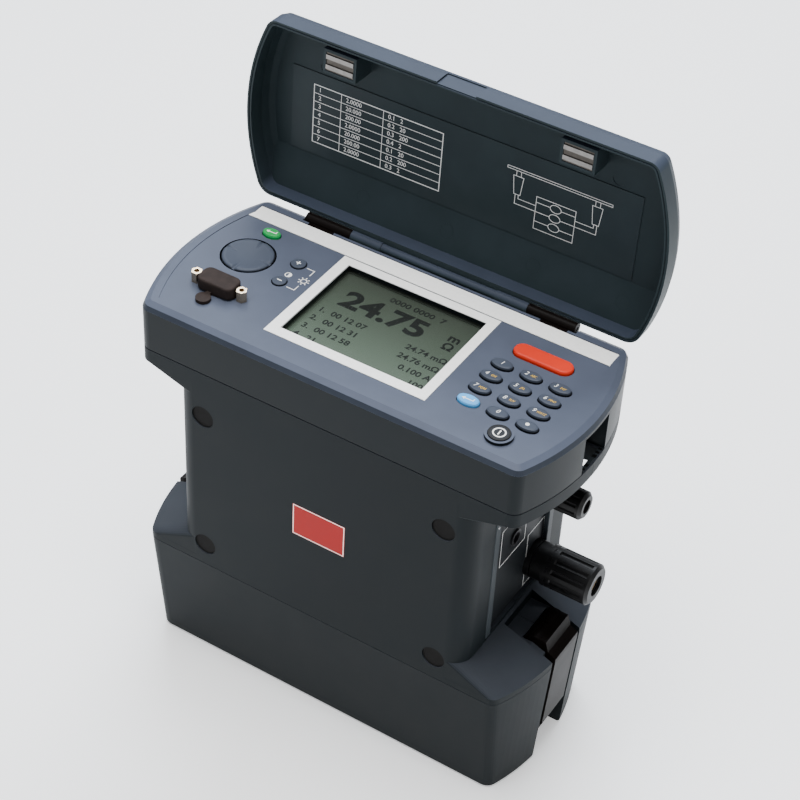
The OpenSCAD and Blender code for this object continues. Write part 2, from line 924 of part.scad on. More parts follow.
// Fluted clamping cap that turns on its stud
module cap_form(cap_r, stud_r, reach) {
  start = collar_t + slide_gap;
  difference() {
    union() {
      translate([0, 0, start]) cylinder(r = cap_r - cap_plain_in, h = cap_plain);
      translate([0, 0, start + cap_plain]) cylinder(r = cap_r, h = reach - start - cap_plain - cap_end);
      translate([0, 0, reach - cap_end]) cylinder(r1 = cap_r, r2 = cap_r - cap_end, h = cap_end);
    }
    translate([0, 0, start - cut]) cylinder(r = stud_r + bore_gap, h = reach + cut);
    translate([0, 0, reach - cap_mouth_depth]) cylinder(r = cap_r * cap_mouth_share, h = cap_mouth_depth + cut);
    for (i = [0:cap_flutes - 1]) rotate([0, 0, i * 360 / cap_flutes]) {
      translate([cap_r * cap_flute_out_share, 0, start + cap_plain + cap_plain_in]) {
        cylinder(r = cap_r * cap_flute_share, h = reach, $fn = 24);
      }
    }
  }
}

module current_cap() {
  color([0.06, 0.06, 0.07]) terminal_place(current_y, column_z + current_up) cap_form(current_r, current_stud_r, current_reach);
}

module potential_cap() {
  color([0.06, 0.06, 0.07]) terminal_place(potential_y, neck_z - potential_down) {
    cap_form(potential_r, potential_stud_r, potential_reach);
  }
}

module side_socket() {
  color([0.05, 0.05, 0.06]) terminal_place(socket_y, column_z + socket_up) difference() {
    union() {
      cylinder(r = socket_r, h = socket_proud);
      translate([0, 0, -socket_back]) cylinder(r = socket_r - socket_proud, h = socket_back + cut / 2);
    }
    translate([0, 0, socket_proud - socket_bore_depth]) cylinder(r = socket_bore, h = socket_bore_depth + cut);
  }
}

module title_strip() {
  color("white") span([strip_x0, strip_y0, panel_z - strip_sink],
    [strip_x1, strip_y0 + strip_w, panel_z - strip_sink + strip_t]);
}

module display_frame() {
  color("white") difference() {
    translate([0, frame_y, 0]) band(panel_z - frame_sink, panel_z - frame_sink + frame_t) {
      round_rect(frame_w / 2, frame_h / 2, frame_r);
    }
    translate([window_x, window_y, 0]) band(panel_z - frame_sink - cut, panel_z + cut) {
      square([window_w, window_h], center = true);
    }
  }
}

module display_glass() {
  color([0.7, 0.8, 0.75, 0.4]) translate([window_x, window_y, under_z - glass_t]) {
    band(0, glass_t) square([window_w + 2 * glass_rim, window_h + 2 * glass_rim], center = true);
  }
}

module lcd_module() {
  top = under_z - glass_t - lcd_gap;
  color([0.45, 0.5, 0.46]) translate([window_x, window_y, 0]) difference() {
    band(board_top, top) square([window_w + 2 * lcd_rim, window_h + 2 * lcd_rim], center = true);
    band(top - lcd_view_sink, top + cut) square([window_w, window_h], center = true);
  }
}

module main_board() {
  color([0.1, 0.35, 0.2]) band(board_top - board_t, board_top) {
    square([2 * board_x, 2 * board_y], center = true);
  }
}

// Dome of a rubber mat under a button
module dome(x, y) {
  top = under_z - slide_gap - key_flange_t - key_travel - slide_gap;
  translate([x, y, board_top]) cylinder(r1 = dome_r, r2 = dome_top_r, h = top - board_top);
}

module key_mat() {
  color([0.75, 0.75, 0.72]) {
    span([mat_x0, mat_y0, board_top], [mat_x1, mat_y1, board_top + mat_t]);
    span([power_x - power_r, power_y - power_r, board_top], [power_x + power_r, mat_y0 + cut, board_top + mat_t]);
    for (i = [0:len(KEY_NAMES) - 1]) dome(key_at(i)[0], key_at(i)[1]);
    dome(test_x, test_y);
    dome(power_x, power_y);
  }
}

module control_mat() {
  color([0.75, 0.75, 0.72]) {
    span([control_mat_x0, control_mat_y0, board_top], [control_mat_x1, control_mat_y1, board_top + mat_t]);
    dome(enter_x, enter_y);
    dome(sign_x, plus_y);
    dome(sign_x, minus_y);
  }
}

module test_button() {
  color([0.85, 0.28, 0.15]) button_form(test_x, test_y, test_l / 2, test_w / 2, test_w, test_proud);
}

module enter_key() {
  color([0.1, 0.6, 0.3]) button_form(enter_x, enter_y, enter_l / 2, enter_w / 2, enter_end_r, key_proud);
}

module plus_key() {
  color([0.3, 0.35, 0.42]) round_button_form(sign_x, plus_y, plus_r, sign_proud);
}

module minus_key() {
  color([0.3, 0.35, 0.42]) round_button_form(sign_x, minus_y, minus_r, sign_proud);
}

module power_key() {
  color([0.15, 0.16, 0.18]) round_button_form(power_x, power_y, power_r, power_proud);
}

// Dished pad that rocks on a round keel, creased between its four directions
module cursor_pad() {
  dish_r = (pow(pad_r - pad_lip, 2) + pow(pad_dish, 2)) / (2 * pad_dish);
  pad_top = panel_z - pad_sink;
  color([0.3, 0.35, 0.42]) translate([pad_x, pad_y, pad_top]) difference() {
    union() {
      translate([0, 0, -pad_t]) cylinder(r = pad_r, h = pad_t);
      translate([-pad_boss_r, 0, -pad_t]) rotate([0, 90, 0]) cylinder(r = pad_boss_h, h = 2 * pad_boss_r);
    }
    translate([0, 0, dish_r - pad_dish]) sphere(dish_r, $fn = 96);
    for (a = [45:90:315]) rotate([0, 0, a]) {
      span([pad_r - pad_crease_l, -pad_crease / 2, -pad_crease - pad_dish], [pad_r + cut, pad_crease / 2, cut]);
    }
  }
}

module serial_connector() {
  color([0.75, 0.75, 0.76]) translate([serial_x, serial_y, 0]) {
    difference() {
      union() {
        band(under_z - serial_plate_t, under_z) {
          square([serial_plate_l, serial_plate_w], center = true);
        }
        band(board_top, under_z - serial_plate_t) {
          square([serial_shell_l, serial_shell_w], center = true);
        }
        band(under_z - serial_plate_t, panel_z + serial_shell_h) {
          oval(serial_shell_l / 2, serial_shell_w / 2, serial_shell_end);
        }
      }
      band(panel_z, panel_z + serial_shell_h + cut) {
        oval(serial_shell_l / 2 - serial_shell_t, serial_shell_w / 2 - serial_shell_t,
          serial_shell_end - serial_shell_t);
      }
      for (side = [-1, 1]) translate([side * serial_spacing / 2, 0, under_z - serial_plate_t - cut]) {
        cylinder(r = standoff_shank + bore_gap, h = serial_plate_t + 2 * cut);
      }
    }
    for (row = [0, 1], i = [0:4 - row]) {
      translate([(i - 2 + row / 2) * serial_pin_pitch, (0.5 - row) * serial_pin_rows, panel_z - cut]) {
        cylinder(r = serial_pin_r, h = serial_pin_h + cut);
      }
    }
  }
}

module serial_standoffs() {
  color([0.8, 0.65, 0.35]) for (side = [-1, 1]) {
    translate([serial_x + side * serial_spacing / 2, serial_y, 0]) difference() {
      union() {
        translate([0, 0, panel_z]) cylinder(r = standoff_r, h = standoff_h, $fn = 6);
        translate([0, 0, under_z - serial_plate_t]) {
          cylinder(r = standoff_shank, h = panel_t + serial_plate_t + cut);
        }
      }
      translate([0, 0, panel_z + standoff_h - standoff_bore_h]) {
        cylinder(r = standoff_bore, h = standoff_bore_h + cut);
      }
    }
  }
}

// Rubber cap over the connector, with a finger tab on a neck
module serial_cover() {
  low = panel_z + tab_lift;
  half_l = serial_cover_l / 2;
  half_w = serial_cover_w / 2;
  top = panel_z + serial_cover_h;
  color([0.3, 0.25, 0.23]) difference() {
    union() {
      translate([serial_x, serial_y, 0]) hull() {
        band(low, top - serial_cover_round) oval(half_l, half_w, serial_cover_end, $fn = blend_fn);
        band(top - slice, top) oval(half_l - serial_cover_round, half_w - serial_cover_round,
          serial_cover_end - serial_cover_round, $fn = blend_fn);
      }
      translate([tab_x, tab_y, 0]) {
        band(low, low + tab_t) circle(tab_r);
        span([-tab_neck / 2, 0, low], [tab_neck / 2, serial_y - tab_y, low + tab_t]);
      }
    }
    translate([serial_x, serial_y, 0]) band(low - cut, panel_z + serial_shell_h + slide_gap) {
      oval(serial_shell_l / 2 + slide_gap, serial_shell_w / 2 + slide_gap, serial_shell_end + slide_gap);
    }
  }
}

module badge_plate() {
  y0 = badge_sink - body_d / 2;
  color([0.65, 0.16, 0.14]) translate([0, 0, column_z + badge_up]) {
    span([-badge_w / 2, y0 - badge_t, -badge_h / 2], [badge_w / 2, y0, badge_h / 2]);
  }
}

module case_screws() {
  color("silver") screw_places() translate([0, 0, screw_set_back]) difference() {
    union() {
      translate([0, 0, -screw_head_t]) cylinder(r = screw_head_r, h = screw_head_t);
      cylinder(r = screw_r, h = screw_l);
    }
    translate([0, 0, -screw_head_t - cut]) cylinder(r = screw_r, h = screw_head_t / 2 + cut, $fn = 6);
  }
}

module screw_plugs() {
  color([0.25, 0.21, 0.2]) screw_places() translate([0, 0, plug_sink]) cylinder(r = plug_r, h = plug_t);
}

module power_board() {
  z0 = case_z + floor_t + power_board_rise;
  color([0.1, 0.35, 0.2]) {
    span([-power_board_x, -power_board_y, z0], [power_board_x, power_board_y, z0 + board_t]);
    translate([coil_x, 0, z0]) cylinder(r = coil_r, h = coil_h + board_t);
    translate([sink_x, 0, z0]) {
      span([-sink_l / 2, -sink_w / 2, 0], [sink_l / 2, sink_w / 2, board_t + wall]);
      for (i = [-2:2]) translate([i * (sink_l - wall) / 4, 0, 0]) {
        span([-wall / 2, -sink_w / 2, 0], [wall / 2, sink_w / 2, sink_h]);
      }
    }
  }
}

// Contact blade between the battery cover and the case floor
module contact(i, clearance) {
  x = contact_x + (i - (contact_n - 1) / 2) * contact_pitch;
  span([x - contact_w / 2 - clearance, -contact_t / 2 - clearance - cut, base_h - contact_sink],
    [x + contact_w / 2 + clearance, clearance - contact_t / 2, base_h - contact_sink + contact_h + clearance]);
}

module battery_contacts() {
  color([0.8, 0.6, 0.3]) for (i = [0:contact_n - 1]) contact(i, 0);
}

// Tapered outline of the base at a share of its height, drawn in by an inset
module base_slice(share, inset) {
  end_in = base_end_in * (1 - share);
  face = body_d / 2 - base_face_in * (1 - share) + end_in;
  plan(end_in + inset, face, face, corner_r + end_in, corner_r + end_in);
}

module battery_case() {
  color([0.24, 0.27, 0.31]) difference() {
    union() {
      difference() {
        hull() {
          band(0, slice) base_slice(0, foot_edge);
          band(foot_edge, foot_edge + slice) base_slice(foot_edge / base_h, 0);
          band(base_h - slice, base_h) base_slice(1, 0);
        }
        difference() {
          union() {
            hull() {
              band(wall, wall + slice) base_slice(0, wall);
              band(base_h - cover_t - slice, base_h - cover_t) base_slice(1, wall + cover_ledge);
            }
            band(base_h - cover_t - slice, base_h + cut) plan(wall);
          }
          both_ends() span([recess_x - wall, -recess_y - wall, -cut], [body_l, recess_y + wall, base_h + 2 * cut]);
        }
        both_ends() span([recess_x, -recess_y, -cut], [body_l, recess_y, base_h + cut]);
      }
      both_ends() span([recess_x - cut, -recess_y - cut, base_h - ledge_down - ledge_h],
        [recess_x + ledge_x, recess_y + cut, base_h - ledge_down]);
    }
  }
}

module battery_cover() {
  color([0.2, 0.22, 0.25]) difference() {
    band(base_h - cover_t, base_h) plan(wall + seat_gap);
    both_ends() {
      span([recess_x - wall - seat_gap, -recess_y - wall - seat_gap, 0],
        [body_l, recess_y + wall + seat_gap, base_h + cut]);
    }
    for (i = [0:contact_n - 1]) contact(i, seat_gap);
  }
}

module battery_cells() {
  pitch = 2 * cell_r + cell_gap;
  color([0.2, 0.35, 0.6]) for (i = [0:cell_n - 1]) {
    translate([(i - (cell_n - 1) / 2) * pitch, cell_l / 2, wall + seat_gap + cell_r]) rotate([90, 0, 0]) {
      cylinder(r = cell_r, h = cell_l);
      translate([0, 0, -cell_nub]) cylinder(r = cell_nub_r, h = cell_nub + cut);
    }
  }
}

// Side view of a clip's lever, measured from its pin, with the nib that snaps under the ledge of the base
module clip_lever() {
  foot = [clip_foot_x, -clip_drop];
  toe = [foot[0] - clip_lever_t, foot[1] - clip_lever_t / 2];
  heel = [clip_edge_x - clip_lever_t - cut, clip_face_z + clip_web_z];
  lean = (toe[0] - heel[0]) / (toe[1] - heel[1]);
  nib_top = base_h - ledge_down - ledge_h - nib_gap - clip_pin_z;
  nib_low = nib_top - 2 * nib_h;
  nib_x = recess_x - clip_pin_x + slide_gap;
  polygon([
    [0, clip_barrel - clip_groove],
    [clip_top_x, clip_top_z],
    [clip_valley_x, clip_valley_z],
    [clip_edge_x - clip_lever_t, clip_edge_z + clip_lever_t / 2],
    [clip_edge_x, clip_edge_z],
    [clip_edge_x, clip_face_z],
    foot,
    toe,
    [heel[0] + (nib_low - heel[1]) * lean, nib_low],
    [nib_x, nib_top - nib_h],
    [nib_x, nib_top],
    [heel[0] + (nib_top - heel[1]) * lean, nib_top],
    heel,
    [clip_web_x, -clip_barrel / 2],
    [0, 0]
  ]);
}

module clip_form() {
  translate([clip_pin_x, clip_y, clip_pin_z]) rotate([90, 0, 0]) difference() {
    union() {
      cylinder(r = clip_barrel, h = 2 * clip_y);
      linear_extrude(2 * clip_y) clip_lever();
    }
    translate([0, 0, -cut]) cylinder(r = clip_pin_r + bore_gap, h = 2 * (clip_y + cut));
    translate([0, 0, clip_y - clip_groove / 2]) linear_extrude(clip_groove) {
      translate([-clip_barrel, clip_barrel - clip_groove]) square([2 * clip_barrel + clip_top_x, clip_barrel]);
    }
  }
}

module clip_right() {
  color([0.22, 0.18, 0.17]) clip_form();
}

module clip_left() {
  color([0.22, 0.18, 0.17]) mirror([1, 0, 0]) clip_form();
}

module clip_pins() {
  half = clip_y + slide_gap + clip_pin_in - seat_gap;
  color("silver") both_ends() translate([clip_pin_x, half, clip_pin_z]) rotate([90, 0, 0]) {
    cylinder(r = clip_pin_r, h = 2 * half);
  }
}

// Plan of the lid, whose rear wall stands in front of the hinge line
module lid_plan(inset) {
  plan(inset, body_d / 2, lid_rear, corner_r, lid_rear_r);
}

module lid_outer() {
  side_z = lid_top - lid_round;
  band(lid_z, side_z) lid_plan(0);
  hull() {
    band(side_z - slice, side_z) lid_plan(lap);
    band(side_z + lid_round * lid_mid_share, side_z + lid_round * lid_mid_share + slice) {
      lid_plan(lid_round * lid_mid_in_share);
    }
    band(side_z + lid_round * lid_high_share, side_z + lid_round * lid_high_share + slice) {
      lid_plan(lid_round * lid_high_in_share);
    }
    band(lid_top - slice, lid_top) lid_plan(lid_round);
  }
}

module lid_inner() {
  side_z = lid_top - lid_round;
  depth = lid_floor - side_z;
  band(lid_z - cut, side_z) lid_plan(lid_wall);
  hull() {
    band(side_z - slice, side_z) lid_plan(lid_wall + lap);
    band(side_z + depth * lid_inner_share, side_z + depth * lid_inner_share + slice) {
      lid_plan(lid_wall + lid_round * lid_mid_in_share);
    }
    band(lid_floor - slice, lid_floor) lid_plan(lid_wall + lid_round * lid_high_in_share);
  }
}

module magnet_box(inset, z0, z1) {
  span([magnet_x - magnet_box_l / 2 + inset, magnet_y - magnet_box_w / 2 + inset, z0],
    [magnet_x + magnet_box_l / 2 - inset, magnet_y + magnet_box_w / 2 - inset, z1]);
}

module lid() {
  face = lid_z + magnet_rise;
  color([0.17, 0.2, 0.24]) lid_place() difference() {
    union() {
      difference() {
        lid_outer();
        lid_inner();
        difference() {
          band(lid_z - cut, lid_z + rim_line_h) lid_plan(rim_line);
          band(lid_z - cut, lid_z + rim_line_h + cut) lid_plan(rim_line + rim_line_w);
        }
      }
      both_ends() magnet_box(0, face, lid_floor + cut);
      span([label_x0, step_y, lid_floor - step_h], [label_x1, step_y + cut, lid_floor + cut]);
      both_ends() translate([knuckle_x0, hinge_y, hinge_z]) rotate([0, 90, 0]) {
        cylinder(r = barrel_r, h = knuckle_x1 - knuckle_x0);
      }
      translate([-knuckle_x0 - cut, hinge_y, hinge_z]) rotate([0, 90, 0]) {
        cylinder(r = bar_r, h = 2 * (knuckle_x0 + cut));
      }
      span([-knuckle_x1, lid_rear - web_in, lid_z], [knuckle_x1, hinge_y, hinge_z + web_h]);
    }
    both_ends() {
      magnet_box(magnet_box_t, face - cut, face + magnet_t);
      translate([pin_x0 - seat_gap, hinge_y, hinge_z]) rotate([0, 90, 0]) {
        cylinder(r = pin_r + bore_gap, h = knuckle_x1 - pin_x0 + cut);
      }
      for (y = [-label_y - mark_r - cut, step_y + 2 * mark_r]) translate([mark_x, y, lid_floor - cut]) {
        cylinder(r = mark_r, h = mark_sink + cut);
      }
    }
    span([-notch_x, -body_d, lid_z - cut], [notch_x, notch_in - body_d / 2, lid_z + notch_h]);
  }
}

module lid_label() {
  color([0.8, 0.82, 0.84]) lid_place() {
    span([label_x0, -label_y, lid_floor - label_t], [label_x1, label_y, lid_floor]);
  }
}

module lid_magnets() {
  inset = magnet_box_t + seat_gap;
  color([0.35, 0.35, 0.37]) lid_place() both_ends() {
    z0 = lid_z + magnet_rise + pole_proud;
    difference() {
      magnet_box(inset, z0, z0 + magnet_t - pole_proud);
      magnet_poles_form(seat_gap);
    }
  }
}

// Pair of steel bars along each magnet
module magnet_poles_form(clearance) {
  half = magnet_box_l / 2 - magnet_box_t - seat_gap;
  for (side = [-1, 1]) {
    y = magnet_y + side * (magnet_box_w / 2 - magnet_box_t - pole_side - pole_w / 2);
    span([magnet_x - half - clearance, y - pole_w / 2 - clearance, lid_z + magnet_rise - pole_proud],
      [magnet_x + half + clearance, y + pole_w / 2 + clearance, lid_z + magnet_rise + magnet_t / 2 + clearance]);
  }
}

module magnet_poles() {
  color([0.75, 0.75, 0.77]) lid_place() both_ends() magnet_poles_form(0);
}

module keeper_plates() {
  color([0.6, 0.6, 0.62]) both_ends() {
    span([magnet_x - keeper_l / 2, magnet_y - keeper_w / 2, under_z - keeper_t],
      [magnet_x + keeper_l / 2, magnet_y + keeper_w / 2, under_z]);
  }
}

// Hinge leaf: barrel on the hinge line and a tab let into the cover
module leaf_form() {
  x0 = knuckle_x1 + slide_gap;
  difference() {
    union() {
      translate([x0, hinge_y, hinge_z]) rotate([0, 90, 0]) cylinder(r = barrel_r, h = leaf_x1 - x0);
      span([leaf_tab_x0, channel_y - leaf_tab_reach, channel_z], [leaf_tab_x1, hinge_y, hinge_z - leaf_skin]);
    }
    translate([x0 - cut, hinge_y, hinge_z]) rotate([0, 90, 0]) {
      cylinder(r = pin_r + bore_gap / 2, h = leaf_x1 - x0 + 2 * cut);
    }
  }
}

module hinge_leaves() {
  color([0.24, 0.2, 0.19]) both_ends() leaf_form();
}

module hinge_pins() {
  color("silver") both_ends() translate([pin_x0, hinge_y, hinge_z]) rotate([0, 90, 0]) {
    cylinder(r = pin_r, h = pin_x1 - pin_x0);
  }
}

top_cover();
front_case();
rear_case();
side_panel_right();
side_panel_left();
title_strip();
display_frame();
display_glass();
lcd_module();
main_board();
key_mat();
control_mat();
key(0);  // key_1
key(1);  // key_2
key(2);  // key_3
key(3);  // key_4
key(4);  // key_5
key(5);  // key_6
key(6);  // key_7
key(7);  // key_8
key(8);  // key_9
key(9);  // key_blue
key(10);  // key_0
key(11);  // key_dot
test_button();
cursor_pad();
enter_key();
plus_key();
minus_key();
power_key();
serial_connector();
serial_standoffs();
serial_cover();
terminal_collars();
terminal_studs();
current_cap();  // current_cap_right
mirror([1, 0, 0]) current_cap();  // current_cap_left
potential_cap();  // potential_cap_right
mirror([1, 0, 0]) potential_cap();  // potential_cap_left
side_socket();
badge_plate();
case_screws();
screw_plugs();
power_board();
battery_case();
battery_cover();
battery_cells();
battery_contacts();
clip_right();
clip_left();
clip_pins();
lid();
lid_label();
lid_magnets();
magnet_poles();
keeper_plates();
hinge_leaves();
hinge_pins();
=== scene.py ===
"""Looks of a portable bench instrument: finishes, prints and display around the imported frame."""
import json
import math

import bmesh
import bpy
from mathutils import Matrix, Vector


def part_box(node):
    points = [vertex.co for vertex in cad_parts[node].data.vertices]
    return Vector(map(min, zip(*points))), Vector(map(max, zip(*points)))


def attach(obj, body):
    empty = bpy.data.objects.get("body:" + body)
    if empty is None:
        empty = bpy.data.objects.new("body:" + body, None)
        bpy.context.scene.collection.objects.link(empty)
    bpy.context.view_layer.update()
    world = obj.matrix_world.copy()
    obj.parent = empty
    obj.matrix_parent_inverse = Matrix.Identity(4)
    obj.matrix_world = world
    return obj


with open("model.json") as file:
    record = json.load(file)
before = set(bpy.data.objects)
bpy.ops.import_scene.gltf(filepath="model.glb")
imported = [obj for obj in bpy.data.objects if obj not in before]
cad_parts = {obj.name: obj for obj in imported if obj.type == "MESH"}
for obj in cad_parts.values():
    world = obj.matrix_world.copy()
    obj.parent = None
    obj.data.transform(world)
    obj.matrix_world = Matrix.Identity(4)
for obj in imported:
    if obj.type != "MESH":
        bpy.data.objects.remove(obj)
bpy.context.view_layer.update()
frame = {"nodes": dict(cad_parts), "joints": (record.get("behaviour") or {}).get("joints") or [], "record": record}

MM = 0.001
INK_T = 0.05 * MM
STATIC = "instrument"
LID = "lid_assembly"

# Camera solved from the photograph: place in metres, then its right, down and forward directions
CAMERA_AT = Vector((0.374856, -0.633680, 0.809329))
CAMERA_RIGHT = Vector((0.8460325, 0.5312400, 0.0448663))
CAMERA_DOWN = Vector((0.3773540, -0.5372549, -0.7542951))
CAMERA_FORWARD = Vector((-0.3766071, 0.6550887, -0.6550007))
FOCAL_PX = 2107.597
PHOTO_PX = 800
SENSOR_MM = 36.0

# Directions used by the drawing planes
ACROSS = Vector((1, 0, 0))
BACK = Vector((0, 1, 0))
UP = Vector((0, 0, 1))

KEYS = {
    "key_1": ("1", ""),
    "key_2": ("2", "ABC"),
    "key_3": ("3", "DEF"),
    "key_4": ("4", "GHI"),
    "key_5": ("5", "JKL"),
    "key_6": ("6", "MNO"),
    "key_7": ("7", "PQRS"),
    "key_8": ("8", "TUV"),
    "key_9": ("9", "WXYZ"),
    "key_0": ("0", ""),
}


# Camera, light and floor


def make_camera():
    data = bpy.data.cameras.new("camera")
    data.sensor_width = SENSOR_MM
    data.lens = FOCAL_PX / PHOTO_PX * SENSOR_MM
    data.clip_start = 0.01
    data.clip_end = 20
    camera = bpy.data.objects.new("camera", data)
    bpy.context.scene.collection.objects.link(camera)
    axes = Matrix((CAMERA_RIGHT, -CAMERA_DOWN, -CAMERA_FORWARD)).transposed()
    camera.matrix_world = Matrix.Translation(CAMERA_AT) @ axes.to_4x4()
    bpy.context.scene.camera = camera


def area_light(name, place, size, watts, colour):
    """Rectangular light aimed at the middle of the object."""
    target = Vector((0, 0, 0.16))
    data = bpy.data.lights.new(name, "AREA")
    data.shape = "RECTANGLE"
    data.size, data.size_y = size
    data.energy = watts
    data.color = colour
    light = bpy.data.objects.new(name, data)
    bpy.context.scene.collection.objects.link(light)
    light.location = place
    light.rotation_euler = (target - Vector(place)).to_track_quat("-Z", "Y").to_euler()


def make_studio():
    world = bpy.data.worlds.new("studio")
    bpy.context.scene.world = world
    world.use_nodes = True
    sky = world.node_tree.nodes["Background"]
    sky.inputs["Color"].default_value = (0.93, 0.96, 1, 1)
    sky.inputs["Strength"].default_value = 0.3
    lights = {
        "rear_light": ((-0.45, 1.15, 1.75), (1.5, 1.1), 62, (0.86, 0.92, 1)),
        "top_light": ((-0.1, -0.1, 1.9), (1.2, 1.2), 52, (1, 1, 1)),
        "crown_light": ((-0.6, -1.1, 1.3), (0.4, 0.4), 3, (0.9, 0.95, 1)),
        "right_light": ((1.4, -0.2, 0.75), (0.7, 1.0), 4, (1, 0.97, 0.93)),
    }
    for name, (place, size, watts, colour) in lights.items():
        area_light(name, place, size, watts, colour)


def make_floor():
    mesh = bpy.data.meshes.new("floor")
    reach = 6
    corners = [(-reach, -reach, 0), (reach, -reach, 0), (reach, reach, 0), (-reach, reach, 0)]
    mesh.from_pydata(corners, [], [(0, 1, 2, 3)])
    floor = bpy.data.objects.new("floor", mesh)
    bpy.context.scene.collection.objects.link(floor)
    material, nodes, links, shader = new_material("floor_paper")
    noise = add_node(nodes, "ShaderNodeTexNoise", Scale=6, Detail=3)
    ramp = colour_ramp(nodes, links, noise.outputs["Fac"], (0.93, 0.935, 0.94), (0.955, 0.96, 0.965))
    links.new(ramp, shader.inputs["Base Color"])
    shader.inputs["Roughness"].default_value = 0.85
    links.new(ramp, shader.inputs["Emission Color"])
    shader.inputs["Emission Strength"].default_value = 0.45
    mesh.materials.append(material)


# Materials


def new_material(name):
    material = bpy.data.materials.new(name)
    material.use_nodes = True
    nodes = material.node_tree.nodes
    return material, nodes, material.node_tree.links, nodes["Principled BSDF"]


def add_node(nodes, kind, **values):
    node = nodes.new(kind)
    for socket, value in values.items():
        node.inputs[socket].default_value = value
    return node


def object_place(nodes):
    """Place on the object in metres, which the patterns follow."""
    return nodes.new("ShaderNodeTexCoord").outputs["Object"]


def colour_ramp(nodes, links, factor, dark, light, low=0.35, high=0.65):
    ramp = nodes.new("ShaderNodeValToRGB")
    ramp.color_ramp.elements[0].position = low
    ramp.color_ramp.elements[0].color = (*dark, 1)
    ramp.color_ramp.elements[1].position = high
    ramp.color_ramp.elements[1].color = (*light, 1)
    links.new(factor, ramp.inputs["Fac"])
    return ramp.outputs["Color"]


def noise_at(nodes, links, place, size, detail=2):
    noise = add_node(nodes, "ShaderNodeTexNoise", Scale=1 / size, Detail=detail)
    links.new(place, noise.inputs["Vector"])
    return noise.outputs["Fac"]


def vary_roughness(nodes, links, factor, shader, low, high):
    spread = nodes.new("ShaderNodeMapRange")
    spread.inputs["To Min"].default_value = low
    spread.inputs["To Max"].default_value = high
    links.new(factor, spread.inputs["Value"])
    links.new(spread.outputs["Result"], shader.inputs["Roughness"])


def bump_from(nodes, links, height, shader, strength, distance):
    bump = add_node(nodes, "ShaderNodeBump", Strength=strength, Distance=distance)
    links.new(height, bump.inputs["Height"])
    links.new(bump.outputs["Normal"], shader.inputs["Normal"])


def shade(colour, share):
    return tuple(channel * share for channel in colour)


def painted_top_light_share(nodes, links, low, high):
    """Share from 0 to 1 by which a face looks up, which sets how much painted top light it takes."""
    split = nodes.new("ShaderNodeSeparateXYZ")
    links.new(nodes.new("ShaderNodeNewGeometry").outputs["Normal"], split.inputs["Vector"])
    spread = nodes.new("ShaderNodeMapRange")
    spread.interpolation_type = "SMOOTHSTEP"
    spread.inputs["From Min"].default_value = low
    spread.inputs["From Max"].default_value = high
    links.new(split.outputs["Z"], spread.inputs["Value"])
    return spread.outputs["Result"]


def moulded(name, colour, rough=0.5, grain=0.45 * MM, relief=0.25, top=None, gloss=0.1):
    """Moulded plastic with eroded grain, faint flow mottling and, where top is given, painted top light: upward
    faces mixed towards a paler colour.
    """
    material, nodes, links, shader = new_material(name)
    place = object_place(nodes)
    patches = noise_at(nodes, links, place, 18 * MM, 4)
    tint = colour_ramp(nodes, links, patches, shade(colour, 0.94), shade(colour, 1.06))
    # Painted top light: faces that look up take the paler top colour, standing in for light from above.
    if top:
        mix = nodes.new("ShaderNodeMix")
        mix.data_type = "RGBA"
        factor, below, above, result = mix.inputs[0], mix.inputs[6], mix.inputs[7], mix.outputs[2]
        links.new(painted_top_light_share(nodes, links, 0.1, 0.85), factor)
        links.new(tint, below)
        links.new(colour_ramp(nodes, links, patches, shade(top, 0.95), shade(top, 1.05)), above)
        tint = result
    links.new(tint, shader.inputs["Base Color"])
    shader.inputs["Specular IOR Level"].default_value = gloss
    fine = noise_at(nodes, links, place, grain, 3)
    vary_roughness(nodes, links, patches, shader, rough - 0.05, rough + 0.05)
    bump_from(nodes, links, fine, shader, relief, 0.06 * MM)
    shader.inputs["IOR"].default_value = 1.5
    return material


def rubber(name, colour, grain=0.3 * MM):
    """Matt rubber with a pebbled skin."""
    material, nodes, links, shader = new_material(name)
    place = object_place(nodes)
    cells = nodes.new("ShaderNodeTexVoronoi")
    cells.inputs["Scale"].default_value = 1 / grain
    links.new(place, cells.inputs["Vector"])
    patches = noise_at(nodes, links, place, 4 * MM, 4)
    tint = colour_ramp(nodes, links, patches, shade(colour, 0.85), shade(colour, 1.2))
    links.new(tint, shader.inputs["Base Color"])
    vary_roughness(nodes, links, patches, shader, 0.6, 0.78)
    bump_from(nodes, links, cells.outputs["Distance"], shader, 0.35, 0.08 * MM)
    shader.inputs["Specular IOR Level"].default_value = 0.1
    return material


def glossy(name, colour, rough=0.22, streak=2 * MM):
    """Pressed glossy plastic with faint handling marks."""
    material, nodes, links, shader = new_material(name)
    place = object_place(nodes)
    marks = noise_at(nodes, links, place, streak, 5)
    tint = colour_ramp(nodes, links, marks, shade(colour, 0.85), shade(colour, 1.25))
    links.new(tint, shader.inputs["Base Color"])
    shader.inputs["Specular IOR Level"].default_value = 0.2
    vary_roughness(nodes, links, marks, shader, rough - 0.06, rough + 0.1)
    bump_from(nodes, links, marks, shader, 0.08, 0.05 * MM)
    shader.inputs["Coat Weight"].default_value = 0.06
    shader.inputs["Coat Roughness"].default_value = 0.12
    return material


